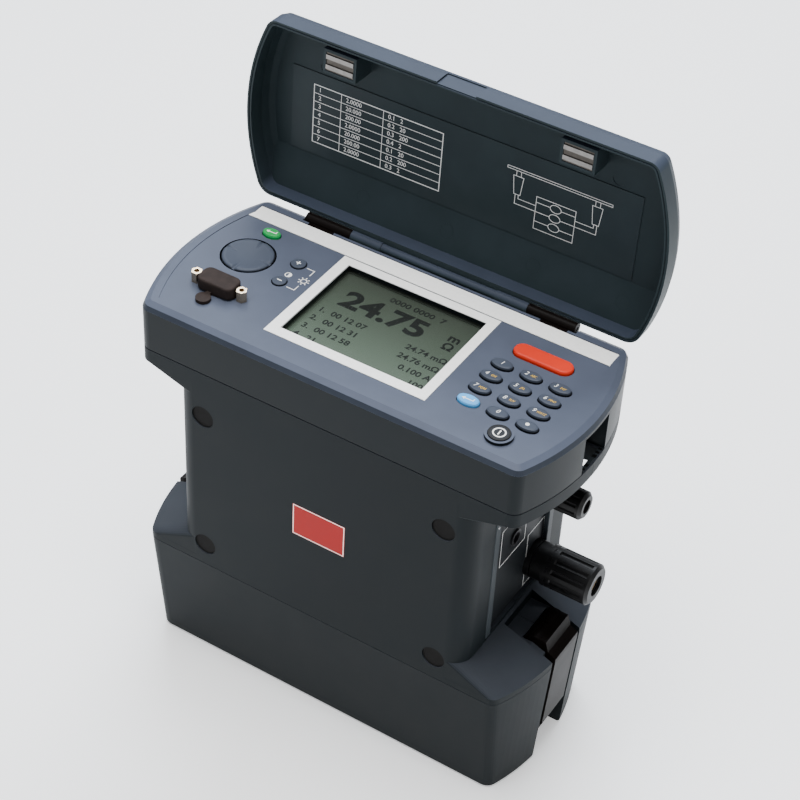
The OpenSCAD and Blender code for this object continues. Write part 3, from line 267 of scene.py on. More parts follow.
def metal(name, colour, rough=0.3, stretch=(1, 1, 12)):
    """Turned or drawn metal: fine lines across one axis and small tarnish patches."""
    material, nodes, links, shader = new_material(name)
    place = object_place(nodes)
    mapping = nodes.new("ShaderNodeMapping")
    mapping.inputs["Scale"].default_value = stretch
    links.new(place, mapping.inputs["Vector"])
    lines = noise_at(nodes, links, mapping.outputs["Vector"], 1.2 * MM, 3)
    patches = noise_at(nodes, links, place, 3 * MM, 4)
    tint = colour_ramp(nodes, links, patches, shade(colour, 0.82), colour)
    links.new(tint, shader.inputs["Base Color"])
    vary_roughness(nodes, links, lines, shader, rough - 0.08, rough + 0.1)
    bump_from(nodes, links, lines, shader, 0.12, 0.03 * MM)
    shader.inputs["Metallic"].default_value = 1
    return material


def printed(name, colour, rough=0.45):
    """Screen-printed ink or film with a little unevenness."""
    material, nodes, links, shader = new_material(name)
    place = object_place(nodes)
    patches = noise_at(nodes, links, place, 1.5 * MM, 3)
    tint = colour_ramp(nodes, links, patches, shade(colour, 0.94), colour)
    links.new(tint, shader.inputs["Base Color"])
    vary_roughness(nodes, links, patches, shader, rough - 0.05, rough + 0.06)
    bump_from(nodes, links, patches, shader, 0.05, 0.02 * MM)
    shader.inputs["Specular IOR Level"].default_value = 0.2
    return material


def window_glass(name):
    """Clear window over the display with faint haze."""
    material, nodes, links, shader = new_material(name)
    place = object_place(nodes)
    haze = noise_at(nodes, links, place, 25 * MM, 3)
    tint = colour_ramp(nodes, links, haze, (0.03, 0.034, 0.032), (0.04, 0.045, 0.043))
    links.new(tint, shader.inputs["Base Color"])
    vary_roughness(nodes, links, haze, shader, 0.04, 0.1)
    shader.inputs["Alpha"].default_value = 0.06
    shader.inputs["Specular IOR Level"].default_value = 0.2
    return material


def lcd_glass(name):
    """Display ground: grey green, with painted shade that makes it darker towards the rear."""
    material, nodes, links, shader = new_material(name)
    place = object_place(nodes)
    low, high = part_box("lcd_module")
    split = nodes.new("ShaderNodeSeparateXYZ")
    links.new(place, split.inputs["Vector"])
    depth = nodes.new("ShaderNodeMapRange")
    depth.inputs["From Min"].default_value = low.y
    depth.inputs["From Max"].default_value = high.y
    links.new(split.outputs["Y"], depth.inputs["Value"])
    # Painted shade: the ground is mixed from a front colour to a darker rear colour.
    front, rear = (0.088, 0.122, 0.09), (0.038, 0.047, 0.036)
    ground = colour_ramp(nodes, links, depth.outputs["Result"], front, rear, 0.1, 1)
    links.new(ground, shader.inputs["Base Color"])
    patches = noise_at(nodes, links, place, 9 * MM, 3)
    vary_roughness(nodes, links, patches, shader, 0.4, 0.5)
    shader.inputs["Specular IOR Level"].default_value = 0.15
    bump_from(nodes, links, patches, shader, 0.04, 0.02 * MM)
    return material


def board_lacquer(name):
    """Green board lacquer with a track-like pattern."""
    material, nodes, links, shader = new_material(name)
    place = object_place(nodes)
    tracks = nodes.new("ShaderNodeTexBrick")
    tracks.inputs["Scale"].default_value = 90
    tracks.inputs["Color1"].default_value = (0.02, 0.13, 0.06, 1)
    tracks.inputs["Color2"].default_value = (0.025, 0.16, 0.075, 1)
    tracks.inputs["Mortar"].default_value = (0.04, 0.22, 0.1, 1)
    links.new(place, tracks.inputs["Vector"])
    links.new(tracks.outputs["Color"], shader.inputs["Base Color"])
    bump_from(nodes, links, tracks.outputs["Fac"], shader, 0.2, 0.04 * MM)
    shader.inputs["Roughness"].default_value = 0.35
    return material


# Painted top light: the head top, ledge, lid top and key top colours are paler copies of the plastics, mixed into
# their upward faces.
CASE = (0.0048, 0.0078, 0.0095)
HEAD_TOP_PAINTED_LIGHT = (0.068, 0.08, 0.112)
LEDGE_PAINTED_LIGHT = (0.036, 0.041, 0.05)
LID_INSIDE = (0.019, 0.029, 0.033)
LID_TOP_PAINTED_LIGHT = (0.034, 0.043, 0.062)
KEY_TOP_PAINTED_LIGHT = (0.05, 0.06, 0.082)
materials = {
    "head_plastic": moulded("head_plastic", CASE, 0.42, top=HEAD_TOP_PAINTED_LIGHT),
    "case_plastic": moulded("case_plastic", CASE, 0.52, top=LEDGE_PAINTED_LIGHT),
    "base_plastic": moulded("base_plastic", shade(CASE, 0.96), 0.54, top=LEDGE_PAINTED_LIGHT),
    "lid_plastic": moulded("lid_plastic", LID_INSIDE, 0.45, relief=0.12, top=LID_TOP_PAINTED_LIGHT),
    "side_plastic": moulded("side_plastic", (0.007, 0.0085, 0.01), 0.5),
    "strip_white": printed("strip_white", (0.92, 0.92, 0.9)),
    "frame_white": printed("frame_white", (0.92, 0.92, 0.9)),
    "window_glass": window_glass("window_glass"),
    "lcd": lcd_glass("lcd"),
    "board": board_lacquer("board"),
    "mat_rubber": rubber("mat_rubber", (0.45, 0.45, 0.43)),
    "key_plastic": moulded("key_plastic", (0.006, 0.0075, 0.01), 0.42, relief=0.1, top=KEY_TOP_PAINTED_LIGHT),
    "blue_key": moulded("blue_key", (0.09, 0.36, 0.72), 0.4, relief=0.1),
    "test_red": moulded("test_red", (0.6, 0.03, 0.012), 0.42, relief=0.1),
    "enter_green": moulded("enter_green", (0.012, 0.3, 0.07), 0.4, relief=0.1),
    "power_dark": moulded("power_dark", (0.02, 0.022, 0.026), 0.4, relief=0.1),
    "connector_metal": metal("connector_metal", (0.62, 0.62, 0.6)),
    "standoff_brass": metal("standoff_brass", (0.6, 0.48, 0.33), 0.22),
    "cover_rubber": rubber("cover_rubber", (0.026, 0.019, 0.017)),
    "terminal_black": glossy("terminal_black", (0.002, 0.002, 0.0022), 0.46),
    "stud_brass": metal("stud_brass", (0.55, 0.38, 0.2), 0.35),
    "socket_black": glossy("socket_black", (0.012, 0.012, 0.013), 0.35),
    "badge_red": printed("badge_red", (0.36, 0.006, 0.005), 0.55),
    "screw_steel": metal("screw_steel", (0.55, 0.55, 0.56)),
    "plug_rubber": rubber("plug_rubber", (0.004, 0.0036, 0.0034)),
    "cell_wrap": glossy("cell_wrap", (0.04, 0.1, 0.32)),
    "contact_brass": metal("contact_brass", (0.75, 0.55, 0.25)),
    "clip_plastic": moulded("clip_plastic", (0.0035, 0.0022, 0.0018), 0.42, relief=0.2, gloss=0.06),
    "pin_steel": metal("pin_steel", (0.6, 0.6, 0.61), 0.25),
    "label_print": moulded("label_print", (0.021, 0.031, 0.0355), 0.36, relief=0.05),
    "magnet_dark": metal("magnet_dark", (0.1, 0.09, 0.08), 0.5),
    "pole_steel": metal("pole_steel", (0.2, 0.19, 0.18), 0.3, (12, 1, 1)),
    "bead_plastic": moulded("bead_plastic", (0.03, 0.037, 0.042), 0.45, relief=0.1),
    "mark_plastic": moulded("mark_plastic", (0.019, 0.028, 0.033), 0.5, relief=0.1),
    "white_ink": printed("white_ink", (0.8, 0.8, 0.78)),
    "yellow_ink": printed("yellow_ink", (0.75, 0.46, 0.05)),
    "lcd_ink": printed("lcd_ink", (0.006, 0.008, 0.007), 0.5),
    "badge_edge": metal("badge_edge", (0.85, 0.6, 0.55), 0.25),
}


def dress_nodes():
    """Gives every carried-over node the finish of its slot."""
    slots = {part["node"]: part["material_slot"] for part in frame["record"]["subparts"]}
    for name, node in frame["nodes"].items():
        node.data.materials.clear()
        node.data.materials.append(materials[slots[name]])


# Flat work: prints drawn on a plane


def plane_matrix(origin, across, up):
    """Matrix from the drawing plane (x across, y up, z out) to the frame."""
    out = across.cross(up)
    turn = Matrix((across, up, out)).transposed().to_4x4()
    return Matrix.Translation(origin) @ turn


def new_piece(name, bm, body, material_names):
    """Turns mesh data into a piece that rides on a body and takes its finish from a slot."""
    mesh = bpy.data.meshes.new(name)
    bm.normal_update()
    bm.to_mesh(mesh)
    bm.free()
    for material_name in material_names:
        mesh.materials.append(materials[material_name])
    piece = bpy.data.objects.new(name, mesh)
    bpy.context.scene.collection.objects.link(piece)
    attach(piece, body)
    return piece


def white_print(name, bm, body):
    """Piece in plain white ink."""
    new_piece(name, bm, body, ["white_ink"])


def rectangle(x0, y0, x1, y1):
    """Corners of a rectangle between two opposite corners."""
    return [(x0, y0), (x1, y0), (x1, y1), (x0, y1)]


def add_prism(bm, outline, plane, thick=INK_T):
    """Closed prism on the plane from an outline of 2D points."""
    low = [bm.verts.new(plane @ Vector((x, y, 0))) for x, y in outline]
    high = [bm.verts.new(plane @ Vector((x, y, thick))) for x, y in outline]
    bm.faces.new(high)
    bm.faces.new(low[::-1])
    count = len(outline)
    for i in range(count):
        j = (i + 1) % count
        bm.faces.new((low[i], low[j], high[j], high[i]))


def add_line(bm, points, width, plane, closed=False, thick=INK_T):
    """Mitred ribbon along 2D points, as one closed solid."""
    points = [Vector(p) for p in points]
    count = len(points)
    sharpest = 0.3
    left, right = [], []
    for i, point in enumerate(points):
        before = points[i - 1] if closed or i else None
        after = points[(i + 1) % count] if closed or i < count - 1 else None
        first = (point - before).normalized() if before is not None else (after - point).normalized()
        last = (after - point).normalized() if after is not None else first
        normal_a = Vector((-first.y, first.x))
        normal_b = Vector((-last.y, last.x))
        mitre = (normal_a + normal_b).normalized()
        reach = width / 2 / max(mitre.dot(normal_a), sharpest)
        left.append(point + mitre * reach)
        right.append(point - mitre * reach)
    rings = []
    for a, b in zip(left, right):
        section = ((a, 0), (b, 0), (b, thick), (a, thick))
        rings.append([bm.verts.new(plane @ Vector((p.x, p.y, z))) for p, z in section])
    steps = count if closed else count - 1
    for i in range(steps):
        near, far = rings[i], rings[(i + 1) % count]
        for k in range(4):
            m = (k + 1) % 4
            bm.faces.new((near[k], near[m], far[m], far[k]))
    if not closed:
        bm.faces.new(rings[0][::-1])
        bm.faces.new(rings[-1])


def circle(centre, radius, count=36, start=0.0, sweep=math.tau):
    """Points of a full circle, or of an arc with both its ends."""
    steps = count if sweep == math.tau else count - 1
    turns = [start + sweep * i / steps for i in range(count)]
    return [(centre[0] + radius * math.cos(turn), centre[1] + radius * math.sin(turn)) for turn in turns]


def add_text(bm, text, height, plane, slant=0.0, align="CENTER", stretch=1.0, bold=0.0, material=0):
    """Built-in face, its capitals of the given height, as thin solid letters on the plane."""
    data = bpy.data.curves.new("lettering", "FONT")
    data.body = text
    data.size = 1
    data.shear = slant
    data.align_x = align
    data.align_y = "CENTER"
    data.offset = bold
    data.extrude = 0.5
    data.resolution_u = 3
    holder = bpy.data.objects.new("lettering", data)
    bpy.context.scene.collection.objects.link(holder)
    bpy.context.view_layer.update()
    mesh = bpy.data.meshes.new_from_object(holder.evaluated_get(bpy.context.evaluated_depsgraph_get()))
    capital_share = 0.69
    size = height / capital_share
    shape = Matrix.Diagonal((size * stretch, size, INK_T, 1)) @ Matrix.Translation((0, 0, 0.5))
    mesh.transform(plane @ shape)
    first = len(bm.faces)
    bm.from_mesh(mesh)
    bm.faces.ensure_lookup_table()
    for face in bm.faces[first:]:
        face.material_index = material
    bpy.data.objects.remove(holder)
    bpy.data.curves.remove(data)
    bpy.data.meshes.remove(mesh)


def top_plane(node, x=None, y=None):
    """Drawing plane on the top of a node, at its middle or at a given place."""
    low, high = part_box(node)
    centre_x = (low.x + high.x) / 2 if x is None else x
    centre_y = (low.y + high.y) / 2 if y is None else y
    return plane_matrix(Vector((centre_x, centre_y, high.z)), ACROSS, BACK)


# Prints on the keys


def key_prints():
    """Digits and letters on the number keys, a dot and a bent arrow."""
    digit_h = 2.2 * MM
    letter_h = 1.3 * MM
    digit_shift = -2.3 * MM
    letters_at = (1.3 * MM, -0.3 * MM, 0)
    dot_r = 0.95 * MM
    slant = 0.25
    for node, (digit, letters) in KEYS.items():
        bm = bmesh.new()
        plane = top_plane(node)
        shift = digit_shift if letters else 0
        add_text(bm, digit, digit_h, plane @ Matrix.Translation((shift, 0, 0)), slant)
        if letters:
            place = plane @ Matrix.Translation(letters_at)
            add_text(bm, letters, letter_h, place, slant, stretch=0.8, material=1)
        new_piece("print_" + node, bm, node + "_body", ["white_ink", "yellow_ink"])
    bm = bmesh.new()
    add_prism(bm, circle((0, 0), dot_r), top_plane("key_dot"))
    white_print("print_key_dot", bm, "key_dot_body")
    return_arrow("key_blue", 2.6, 0.9, -0.5, -1.5, -3.1, 0.45)


def return_arrow(node, stem_x, stem_top, shaft_y, head_x, tip_x, line_w):
    """Bent arrow on a key, in mm from its middle: short stem, shaft to the left and solid head."""
    head_half = 1.0
    overlap = 0.1
    line = [(stem_x, stem_top), (stem_x, shaft_y), (head_x - overlap, shaft_y)]
    head = [(tip_x, shaft_y), (head_x, shaft_y - head_half), (head_x, shaft_y + head_half)]
    plane = top_plane(node)
    bm = bmesh.new()
    add_line(bm, [(x * MM, y * MM) for x, y in line], line_w * MM, plane)
    add_prism(bm, [(x * MM, y * MM) for x, y in head], plane)
    white_print("print_" + node, bm, node + "_body")


def control_prints():
    """Symbols on the plus, minus, enter and power keys, and a black ring of painted shade at the edge of the power
    key, over its gap.
    """
    line_w = 0.55 * MM
    bm = bmesh.new()
    plane = top_plane("plus_key")
    arm = 1.25 * MM
    half = line_w / 2
    add_prism(bm, [(-arm, -half), (-half, -half), (-half, -arm), (half, -arm), (half, -half), (arm, -half),
                   (arm, half), (half, half), (half, arm), (-half, arm), (-half, half), (-arm, half)], plane)
    white_print("print_plus_key", bm, "plus_key_body")
    bm = bmesh.new()
    add_line(bm, [(-arm, 0), (arm, 0)], line_w, top_plane("minus_key"))
    white_print("print_minus_key", bm, "minus_key_body")
    return_arrow("enter_key", 2.5, 1.1, -0.3, -1.2, -2.9, 0.5)
    symbol_r = 2.75 * MM
    symbol_w = 0.65 * MM
    stroke_half = 1.5 * MM
    # Radius and width of the painted shade ring at the power key's edge.
    gap_shade_r = 4.6 * MM
    gap_shade_w = 0.9 * MM
    bm = bmesh.new()
    plane = top_plane("power_key")
    add_line(bm, circle((0, 0), symbol_r, 48), symbol_w, plane, closed=True)
    add_line(bm, [(0, -stroke_half), (0, stroke_half)], symbol_w, plane)
    white_print("print_power_key", bm, "power_key_body")
    # Painted shade: a black ring at the edge of the power key stands for the shadowed gap round it.
    bm = bmesh.new()
    add_line(bm, circle((0, 0), gap_shade_r, 64), gap_shade_w, plane, closed=True)
    new_piece("power_gap_shade", bm, "power_key_body", ["terminal_black"])


def panel_prints():
    """Contrast and lamp symbols between the plus and minus keys, with their bracket lines."""
    low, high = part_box("plus_key")
    plus = Vector(((low.x + high.x) / 2, (low.y + high.y) / 2))
    low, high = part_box("minus_key")
    minus_y = (low.y + high.y) / 2
    strip_proud = 0.2 * MM
    panel_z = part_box("title_strip")[1].z - strip_proud
    origin = Vector((plus.x, (plus.y + minus_y) / 2, panel_z))
    plane = plane_matrix(origin, ACROSS, BACK)
    bm = bmesh.new()
    symbol_y = -1.4 * MM
    disc = (0.6 * MM, symbol_y)
    disc_r = 1.5 * MM
    disc_w = 0.45 * MM
    add_line(bm, circle(disc, disc_r), disc_w, plane, closed=True)
    add_prism(bm, circle(disc, disc_r - 0.2 * MM, 18, -math.pi / 2, math.pi), plane)
    lamp = (9.1 * MM, symbol_y)
    lamp_r = 1.45 * MM
    line_w = 0.4 * MM
    add_line(bm, circle(lamp, lamp_r), line_w, plane, closed=True)
    rays = 8
    ray_span = (2.0 * MM, 2.8 * MM)
    ray_w = 0.5 * MM
    for i in range(rays):
        turn = math.tau * i / rays
        ray = [(lamp[0] + r * math.cos(turn), lamp[1] + r * math.sin(turn)) for r in ray_span]
        add_line(bm, ray, ray_w, plane)
    bracket_start = 4.9 * MM
    for key_y, lamp_end in ((7.6 * MM, 3.4 * MM), (-9.3 * MM, -5.6 * MM)):
        add_line(bm, [(bracket_start, key_y), (lamp[0], key_y), (lamp[0], lamp_end)], line_w, plane)
    white_print("panel_symbols", bm, STATIC)


# Display content


def display_prints():
    """Large reading with its unit, four rows below and a row above; places in mm from the middle."""
    low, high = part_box("lcd_module")
    glass_t = 0.5 * MM
    view_z = high.z - glass_t
    centre = Vector(((low.x + high.x) / 2, (low.y + high.y) / 2, view_z))
    plane = plane_matrix(centre, ACROSS, BACK)
    bm = bmesh.new()

    def at(x, y):
        return plane @ Matrix.Translation((x * MM, y * MM, 0))

    reading_h = 11.5 * MM
    prefix_h, unit_h = 5.0 * MM, 4.6 * MM
    unit_x = 28.5
    add_text(bm, "24.75", reading_h, at(-7, 11), stretch=1.2, bold=0.035)
    add_text(bm, "m", prefix_h, at(unit_x, 14.5), stretch=1.1, bold=0.03)
    add_text(bm, "Ω", unit_h, at(unit_x, 8), stretch=1.1, bold=0.03)
    lefts = ("1.  00 12 07", "2.  00 12 31", "3.  00 12 58", "4.  21")
    rights = ("24.74 mΩ", "24.76 mΩ", "0.100 A", "100")
    row_h = 3.3 * MM
    first_row = -1.8
    row_pitch = 6.9
    edge_x = 34
    for i, (left, right) in enumerate(zip(lefts, rights)):
        row_y = first_row - row_pitch * i
        add_text(bm, left, row_h, at(-edge_x, row_y), align="LEFT", stretch=1.1, bold=0.025)
        add_text(bm, right, row_h, at(edge_x, row_y), align="RIGHT", stretch=1.1, bold=0.025)
    head_row_h = 3.2 * MM
    add_text(bm, "0000 0000  7", head_row_h, at(4, 22.5), stretch=1.2, bold=0.02)
    new_piece("display_digits", bm, STATIC, ["lcd_ink"])


# Prints on the side panels


def side_prints():
    """Empty printed boxes on the dark side inserts."""
    line_w = 0.35 * MM
    low_box = (9.5, 85.5, 25.5, 119)
    socket_box = (-18, 120.5, 5.5, 143)
    high_box = (-7, 147, 15.5, 169)
    for side in (1, -1):
        node = "side_panel_right" if side > 0 else "side_panel_left"
        low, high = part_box(node)
        face_x = high.x if side > 0 else low.x
        plane = plane_matrix(Vector((face_x, 0, 0)), side * BACK, UP)
        bm = bmesh.new()
        boxes = (low_box, socket_box, high_box) if side > 0 else (low_box, high_box)
        for y0, z0, y1, z1 in boxes:
            near, far = sorted((y0 * side, y1 * side))
            corners = [(y * MM, z * MM) for y, z in rectangle(near, z0, far, z1)]
            add_line(bm, corners, line_w, plane, closed=True)
        white_print(node + "_lines", bm, STATIC)


# Prints inside the lid


def lid_turn():
    """Turns what is placed for the closed lid into the open lid."""
    hinge = next(joint for joint in frame["joints"] if joint["name"] == "lid_hinge")
    pivot = Vector(hinge["pos_m"])
    opening = Matrix.Rotation(math.radians(min(hinge["range_deg"])), 4, "X")
    return Matrix.Translation(pivot) @ opening @ Matrix.Translation(-pivot)


def lid_plane():
    """Drawing plane on the label of the open lid: x along it, y up the open lid, z out of it."""
    closed_face = 230.1 * MM
    return lid_turn() @ plane_matrix(Vector((0, 0, closed_face)), ACROSS, -BACK)


def lid_prints():
    """Ruled table and connection sketch on the label of the lid; places in mm on its plane."""
    plane = lid_plane()
    bm = bmesh.new()
    left, right, top, bottom = -82, -12, 15.5, -15.5
    rows = 7
    columns = (left, -67, -44, right)
    margin = 2.5
    text_h = 2.2 * MM
    frame_line = 0.45 * MM
    thin_line = 0.28 * MM
    corners = [(x * MM, y * MM) for x, y in rectangle(left, bottom, right, top)]
    add_line(bm, corners, frame_line, plane, closed=True)
    for i in range(1, rows):
        y = top + (bottom - top) * i / rows
        add_line(bm, [(left * MM, y * MM), (right * MM, y * MM)], thin_line, plane)
    for x in columns[1:-1]:
        add_line(bm, [(x * MM, bottom * MM), (x * MM, top * MM)], thin_line, plane)
    for i in range(rows):
        y = top + (bottom - top) * (i + 0.5) / rows
        first = str(i + 1)
        second = f"{2 * 10 ** (i % 3):d}.{'0' * (4 - i % 3)}"
        third = f"0.{i % 4 + 1}   {2 * 10 ** (i % 3):d}"
        for text, x in zip((first, second, third), columns):
            place = plane @ Matrix.Translation(((x + margin) * MM, y * MM, 0))
            add_text(bm, text, text_h, place, align="LEFT")
    add_wiring(bm, plane, thin_line)
    white_print("lid_table", bm, LID)


def add_wiring(bm, plane, line_w):
    """Four-wire hook-up sketch: a bar under test, two probes and a box with three meters."""
    bar_left, bar_right, bar_top, bar_foot = 22, 75, 12.5, 11.3
    left_probe, right_probe, probe_top, probe_foot = 28, 68, 8.5, -1
    top_half, foot_half, tip_half, lead_half = 2.6, 1.6, 1.2, 0.8
    outer_lead, inner_lead = -6, -3
    meter_rows = (-1, -6, -11)
    box_left, box_right, box_top, box_foot = 38, 58, 2, -15
    meter_x = (box_left + box_right) / 2
    meter_half, meter_rise = 2.8, 2.0
    arc_steps = 24

    def path(points, closed=False):
        add_line(bm, [(x * MM, y * MM) for x, y in points], line_w, plane, closed=closed)

    path(rectangle(bar_left, bar_top, bar_right, bar_foot), closed=True)
    for x, box_side, inward in ((left_probe, box_left, 1), (right_probe, box_right, -1)):
        path([(x - top_half, probe_top), (x + top_half, probe_top), (x + foot_half, probe_foot),
              (x - foot_half, probe_foot)], closed=True)
        for tip_x in (x - tip_half, x + tip_half):
            path([(tip_x, bar_foot), (tip_x, probe_top)])
        for lead_x, lead_y in ((x - lead_half * inward, outer_lead), (x + lead_half * inward, inner_lead)):
            path([(lead_x, probe_foot), (lead_x, lead_y), (box_side, lead_y)])
    path(rectangle(box_left, box_top, box_right, box_foot), closed=True)
    turns = [math.tau * i / arc_steps for i in range(arc_steps)]
    for y in meter_rows:
        path([(box_left, y), (meter_x - meter_half, y)])
        path([(meter_x + meter_half, y), (box_right, y)])
        path([(meter_x + meter_half * math.cos(turn), y + meter_rise * math.sin(turn)) for turn in turns],
             closed=True)


def badge_border():
    """Thin bright edge round the bare plate on the front."""
    low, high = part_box("badge_plate")
    plane = plane_matrix(Vector((0, low.y, 0)), ACROSS, UP)
    inset = 0.45 * MM
    line_w = 0.5 * MM
    corners = rectangle(low.x + inset, low.z + inset, high.x - inset, high.z - inset)
    bm = bmesh.new()
    add_line(bm, corners, line_w, plane, closed=True)
    new_piece("badge_border", bm, STATIC, ["badge_edge"])


# Fitted pieces


def add_box(bm, low, high):
    """Box between two opposite corners."""
    cube = bmesh.ops.create_cube(bm, size=1)
    for vertex in cube["verts"]:
        vertex.co = Vector([(low[k] + high[k]) / 2 + vertex.co[k] * (high[k] - low[k]) for k in range(3)])


def add_lathe(bm, profile, centre, axis, steps=48):
    """Closed ring of revolution about an X axis through the centre; profile points are (along, radius)."""
    rings = []
    for along, radius in profile:
        ring = []
        for i in range(steps):
            turn = math.tau * i / steps
            ring.append(bm.verts.new((centre.x + axis * along, centre.y + radius * math.cos(turn),
                                      centre.z + radius * math.sin(turn))))
        rings.append(ring)
    for i in range(len(rings)):
        near, far = rings[i], rings[(i + 1) % len(rings)]
        for k in range(steps):
            m = (k + 1) % steps
            corners = (near[k], near[m], far[m], far[k])
            bm.faces.new(corners if axis < 0 else corners[::-1])


def cap_rings():
    """Plain sleeve and end rim that close the flutes of each terminal cap."""
    skin = 0.01 * MM
    plain = 6 * MM
    groove = 0.5 * MM
    rim = 3.2 * MM
    rim_slope = 0.4 * MM
    chamfer = 1.5 * MM
    core_share, bore_share = 0.7, 0.52
    for node, sleeve in (("current_cap", 5.4 * MM), ("potential_cap", 4.2 * MM)):
        for side, axis in (("right", 1), ("left", -1)):
            low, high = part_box(f"{node}_{side}")
            outer = (high.z - low.z) / 2 - skin
            core = outer * core_share
            bore = outer * bore_share
            start = low.x if axis > 0 else high.x
            centre = Vector((start, (low.y + high.y) / 2, (low.z + high.z) / 2))
            first = plain + skin
            middle = first + 0.4 * sleeve
            last = first + sleeve
            end = high.x - low.x - skin
            sleeve_profile = [
                (first, core), (first, outer), (middle, outer), (middle, outer - groove),
                (middle + groove, outer - groove), (middle + groove, outer), (last - groove, outer),
                (last, outer - groove), (last, core),
            ]
            rim_profile = [
                (end - rim, core), (end - rim + rim_slope, outer), (end - chamfer, outer),
                (end, outer - chamfer), (end, bore), (end - rim, bore),
            ]
            bm = bmesh.new()
            add_lathe(bm, sleeve_profile, centre, axis)
            add_lathe(bm, rim_profile, centre, axis)
            new_piece(f"{node}_{side}_rings", bm, f"{node}_{side}_body", ["terminal_black"])


def strap_ladder():
    """Ribbed sill under each strap window: dark ground, paler cross ribs and a plain middle."""
    low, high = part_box("top_cover")
    inner_x, outer_x = high.x - 2.9 * MM, high.x - 1.0 * MM
    half_open = 10.5 * MM
    plain_half = 2.6 * MM
    rib_half = 0.6 * MM
    first_rib, rib_pitch, ribs_a_side = 5.3 * MM, 2.7 * MM, 3
    floor_z = low.z + 0.02 * MM
    ground_z = floor_z + 0.1 * MM
    rib_z = floor_z + 0.45 * MM
    spans = [(-plain_half, plain_half)]
    for i in range(ribs_a_side):
        middle = first_rib + rib_pitch * i
        far = min(middle + rib_half, half_open)
        spans += [(middle - rib_half, far), (-far, -middle + rib_half)]
    ground = bmesh.new()
    ribs = bmesh.new()
    for side in (1, -1):
        x0, x1 = sorted((side * inner_x, side * outer_x))
        add_box(ground, (x0, -half_open, floor_z), (x1, half_open, ground_z))
        for y0, y1 in spans:
            add_box(ribs, (x0, y0, floor_z), (x1, y1, rib_z))
    new_piece("strap_ground", ground, STATIC, ["terminal_black"])
    new_piece("strap_ladder", ribs, STATIC, ["bead_plastic"])


def column_beads():
    """Two raised strips beside the dark insert in each column end, with a small pip on the front one."""
    low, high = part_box("side_panel_right")
    foot_z, head_z = low.z + 2 * MM, high.z - 6 * MM
    near_y, far_y = 25 * MM, 29.4 * MM
    skin = 0.02 * MM
    rise = 2.5 * MM
    rounding = 0.5 * MM
    bm = bmesh.new()
    for side in (1, -1):
        x0, x1 = sorted((side * (high.x + skin), side * (high.x + rise)))
        for y0, y1 in ((-far_y, -near_y), (near_y, far_y)):
            add_box(bm, (x0, y0, foot_z), (x1, y1, head_z))
    piece = new_piece("column_beads", bm, STATIC, ["bead_plastic"])
    round_edges(piece, rounding)
    pip_sink = 0.1 * MM
    pip_t = 0.4 * MM
    hole, top_r, foot_r = 0.1 * MM, 0.5 * MM, 0.8 * MM
    pip_z = high.z - 19.5 * MM
    bm = bmesh.new()
    for side in (1, -1):
        start = Vector((side * (high.x + rise - pip_sink), -(near_y + far_y) / 2, pip_z))
        add_lathe(bm, [(0, hole), (0, foot_r), (pip_t, top_r), (pip_t, hole)], start, side, 20)
    new_piece("column_pips", bm, STATIC, ["pin_steel"])


def round_edges(piece, width):
    """Bevel that rounds the sharp edges of a piece."""
    bevel = piece.modifiers.new("round edges", "BEVEL")
    bevel.width = width
    bevel.segments = 3
    bevel.limit_method = "ANGLE"


def pad_face():
    """Dished, creased face that stands proud on the cursor pad."""
    low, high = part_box("cursor_pad")
    centre = Vector(((low.x + high.x) / 2, (low.y + high.y) / 2, high.z))
    radius = (high.x - low.x) / 2 - 0.05 * MM
    rise = 1.0 * MM
    skirt = 1.2 * MM
    dish_depth, dish_end = 1.1 * MM, 0.86
    edge_drop, edge_start = 0.6 * MM, 0.9
    crease_depth, crease_start = 1.1 * MM, 0.52
    crease_half, crease_spread = 0.35 * MM, 1.0 * MM
    rings = 26
    steps = 144
    bm = bmesh.new()

    def height(share, turn):
        dish = dish_depth * max(0.0, 1 - (share / dish_end) ** 2)
        rounding = edge_drop * max(0.0, (share - edge_start) / (1 - edge_start)) ** 2
        off = abs((turn + math.pi / 4) % (math.pi / 2) - math.pi / 4) * share * radius
        reach = max(0.0, (share - crease_start) / (1 - crease_start))
        crease = crease_depth * reach * max(0.0, 1 - off / (crease_half + crease_spread * reach))
        return rise - dish - rounding - crease

    def ring(share):
        turns = [math.tau * k / steps for k in range(steps)]
        places = [(share * radius * math.cos(turn), share * radius * math.sin(turn), height(share, turn))
                  for turn in turns]
        return [bm.verts.new(centre + Vector(place)) for place in places]

    middle = bm.verts.new(centre + Vector((0, 0, height(0.0, 0.0))))
    circles = [ring(i / rings) for i in range(1, rings + 1)]
    foot = [bm.verts.new((vertex.co.x, vertex.co.y, centre.z - skirt)) for vertex in circles[-1]]
    for k in range(steps):
        m = (k + 1) % steps
        bm.faces.new((middle, circles[0][k], circles[0][m]))
        for near, far in zip(circles, circles[1:] + [foot]):
            bm.faces.new((near[k], far[k], far[m], near[m]))
    bm.faces.new(foot[::-1])
    for face in bm.faces:
        face.smooth = len(face.verts) < 5
    new_piece("pad_face", bm, "cursor_pad_body", ["key_plastic"])


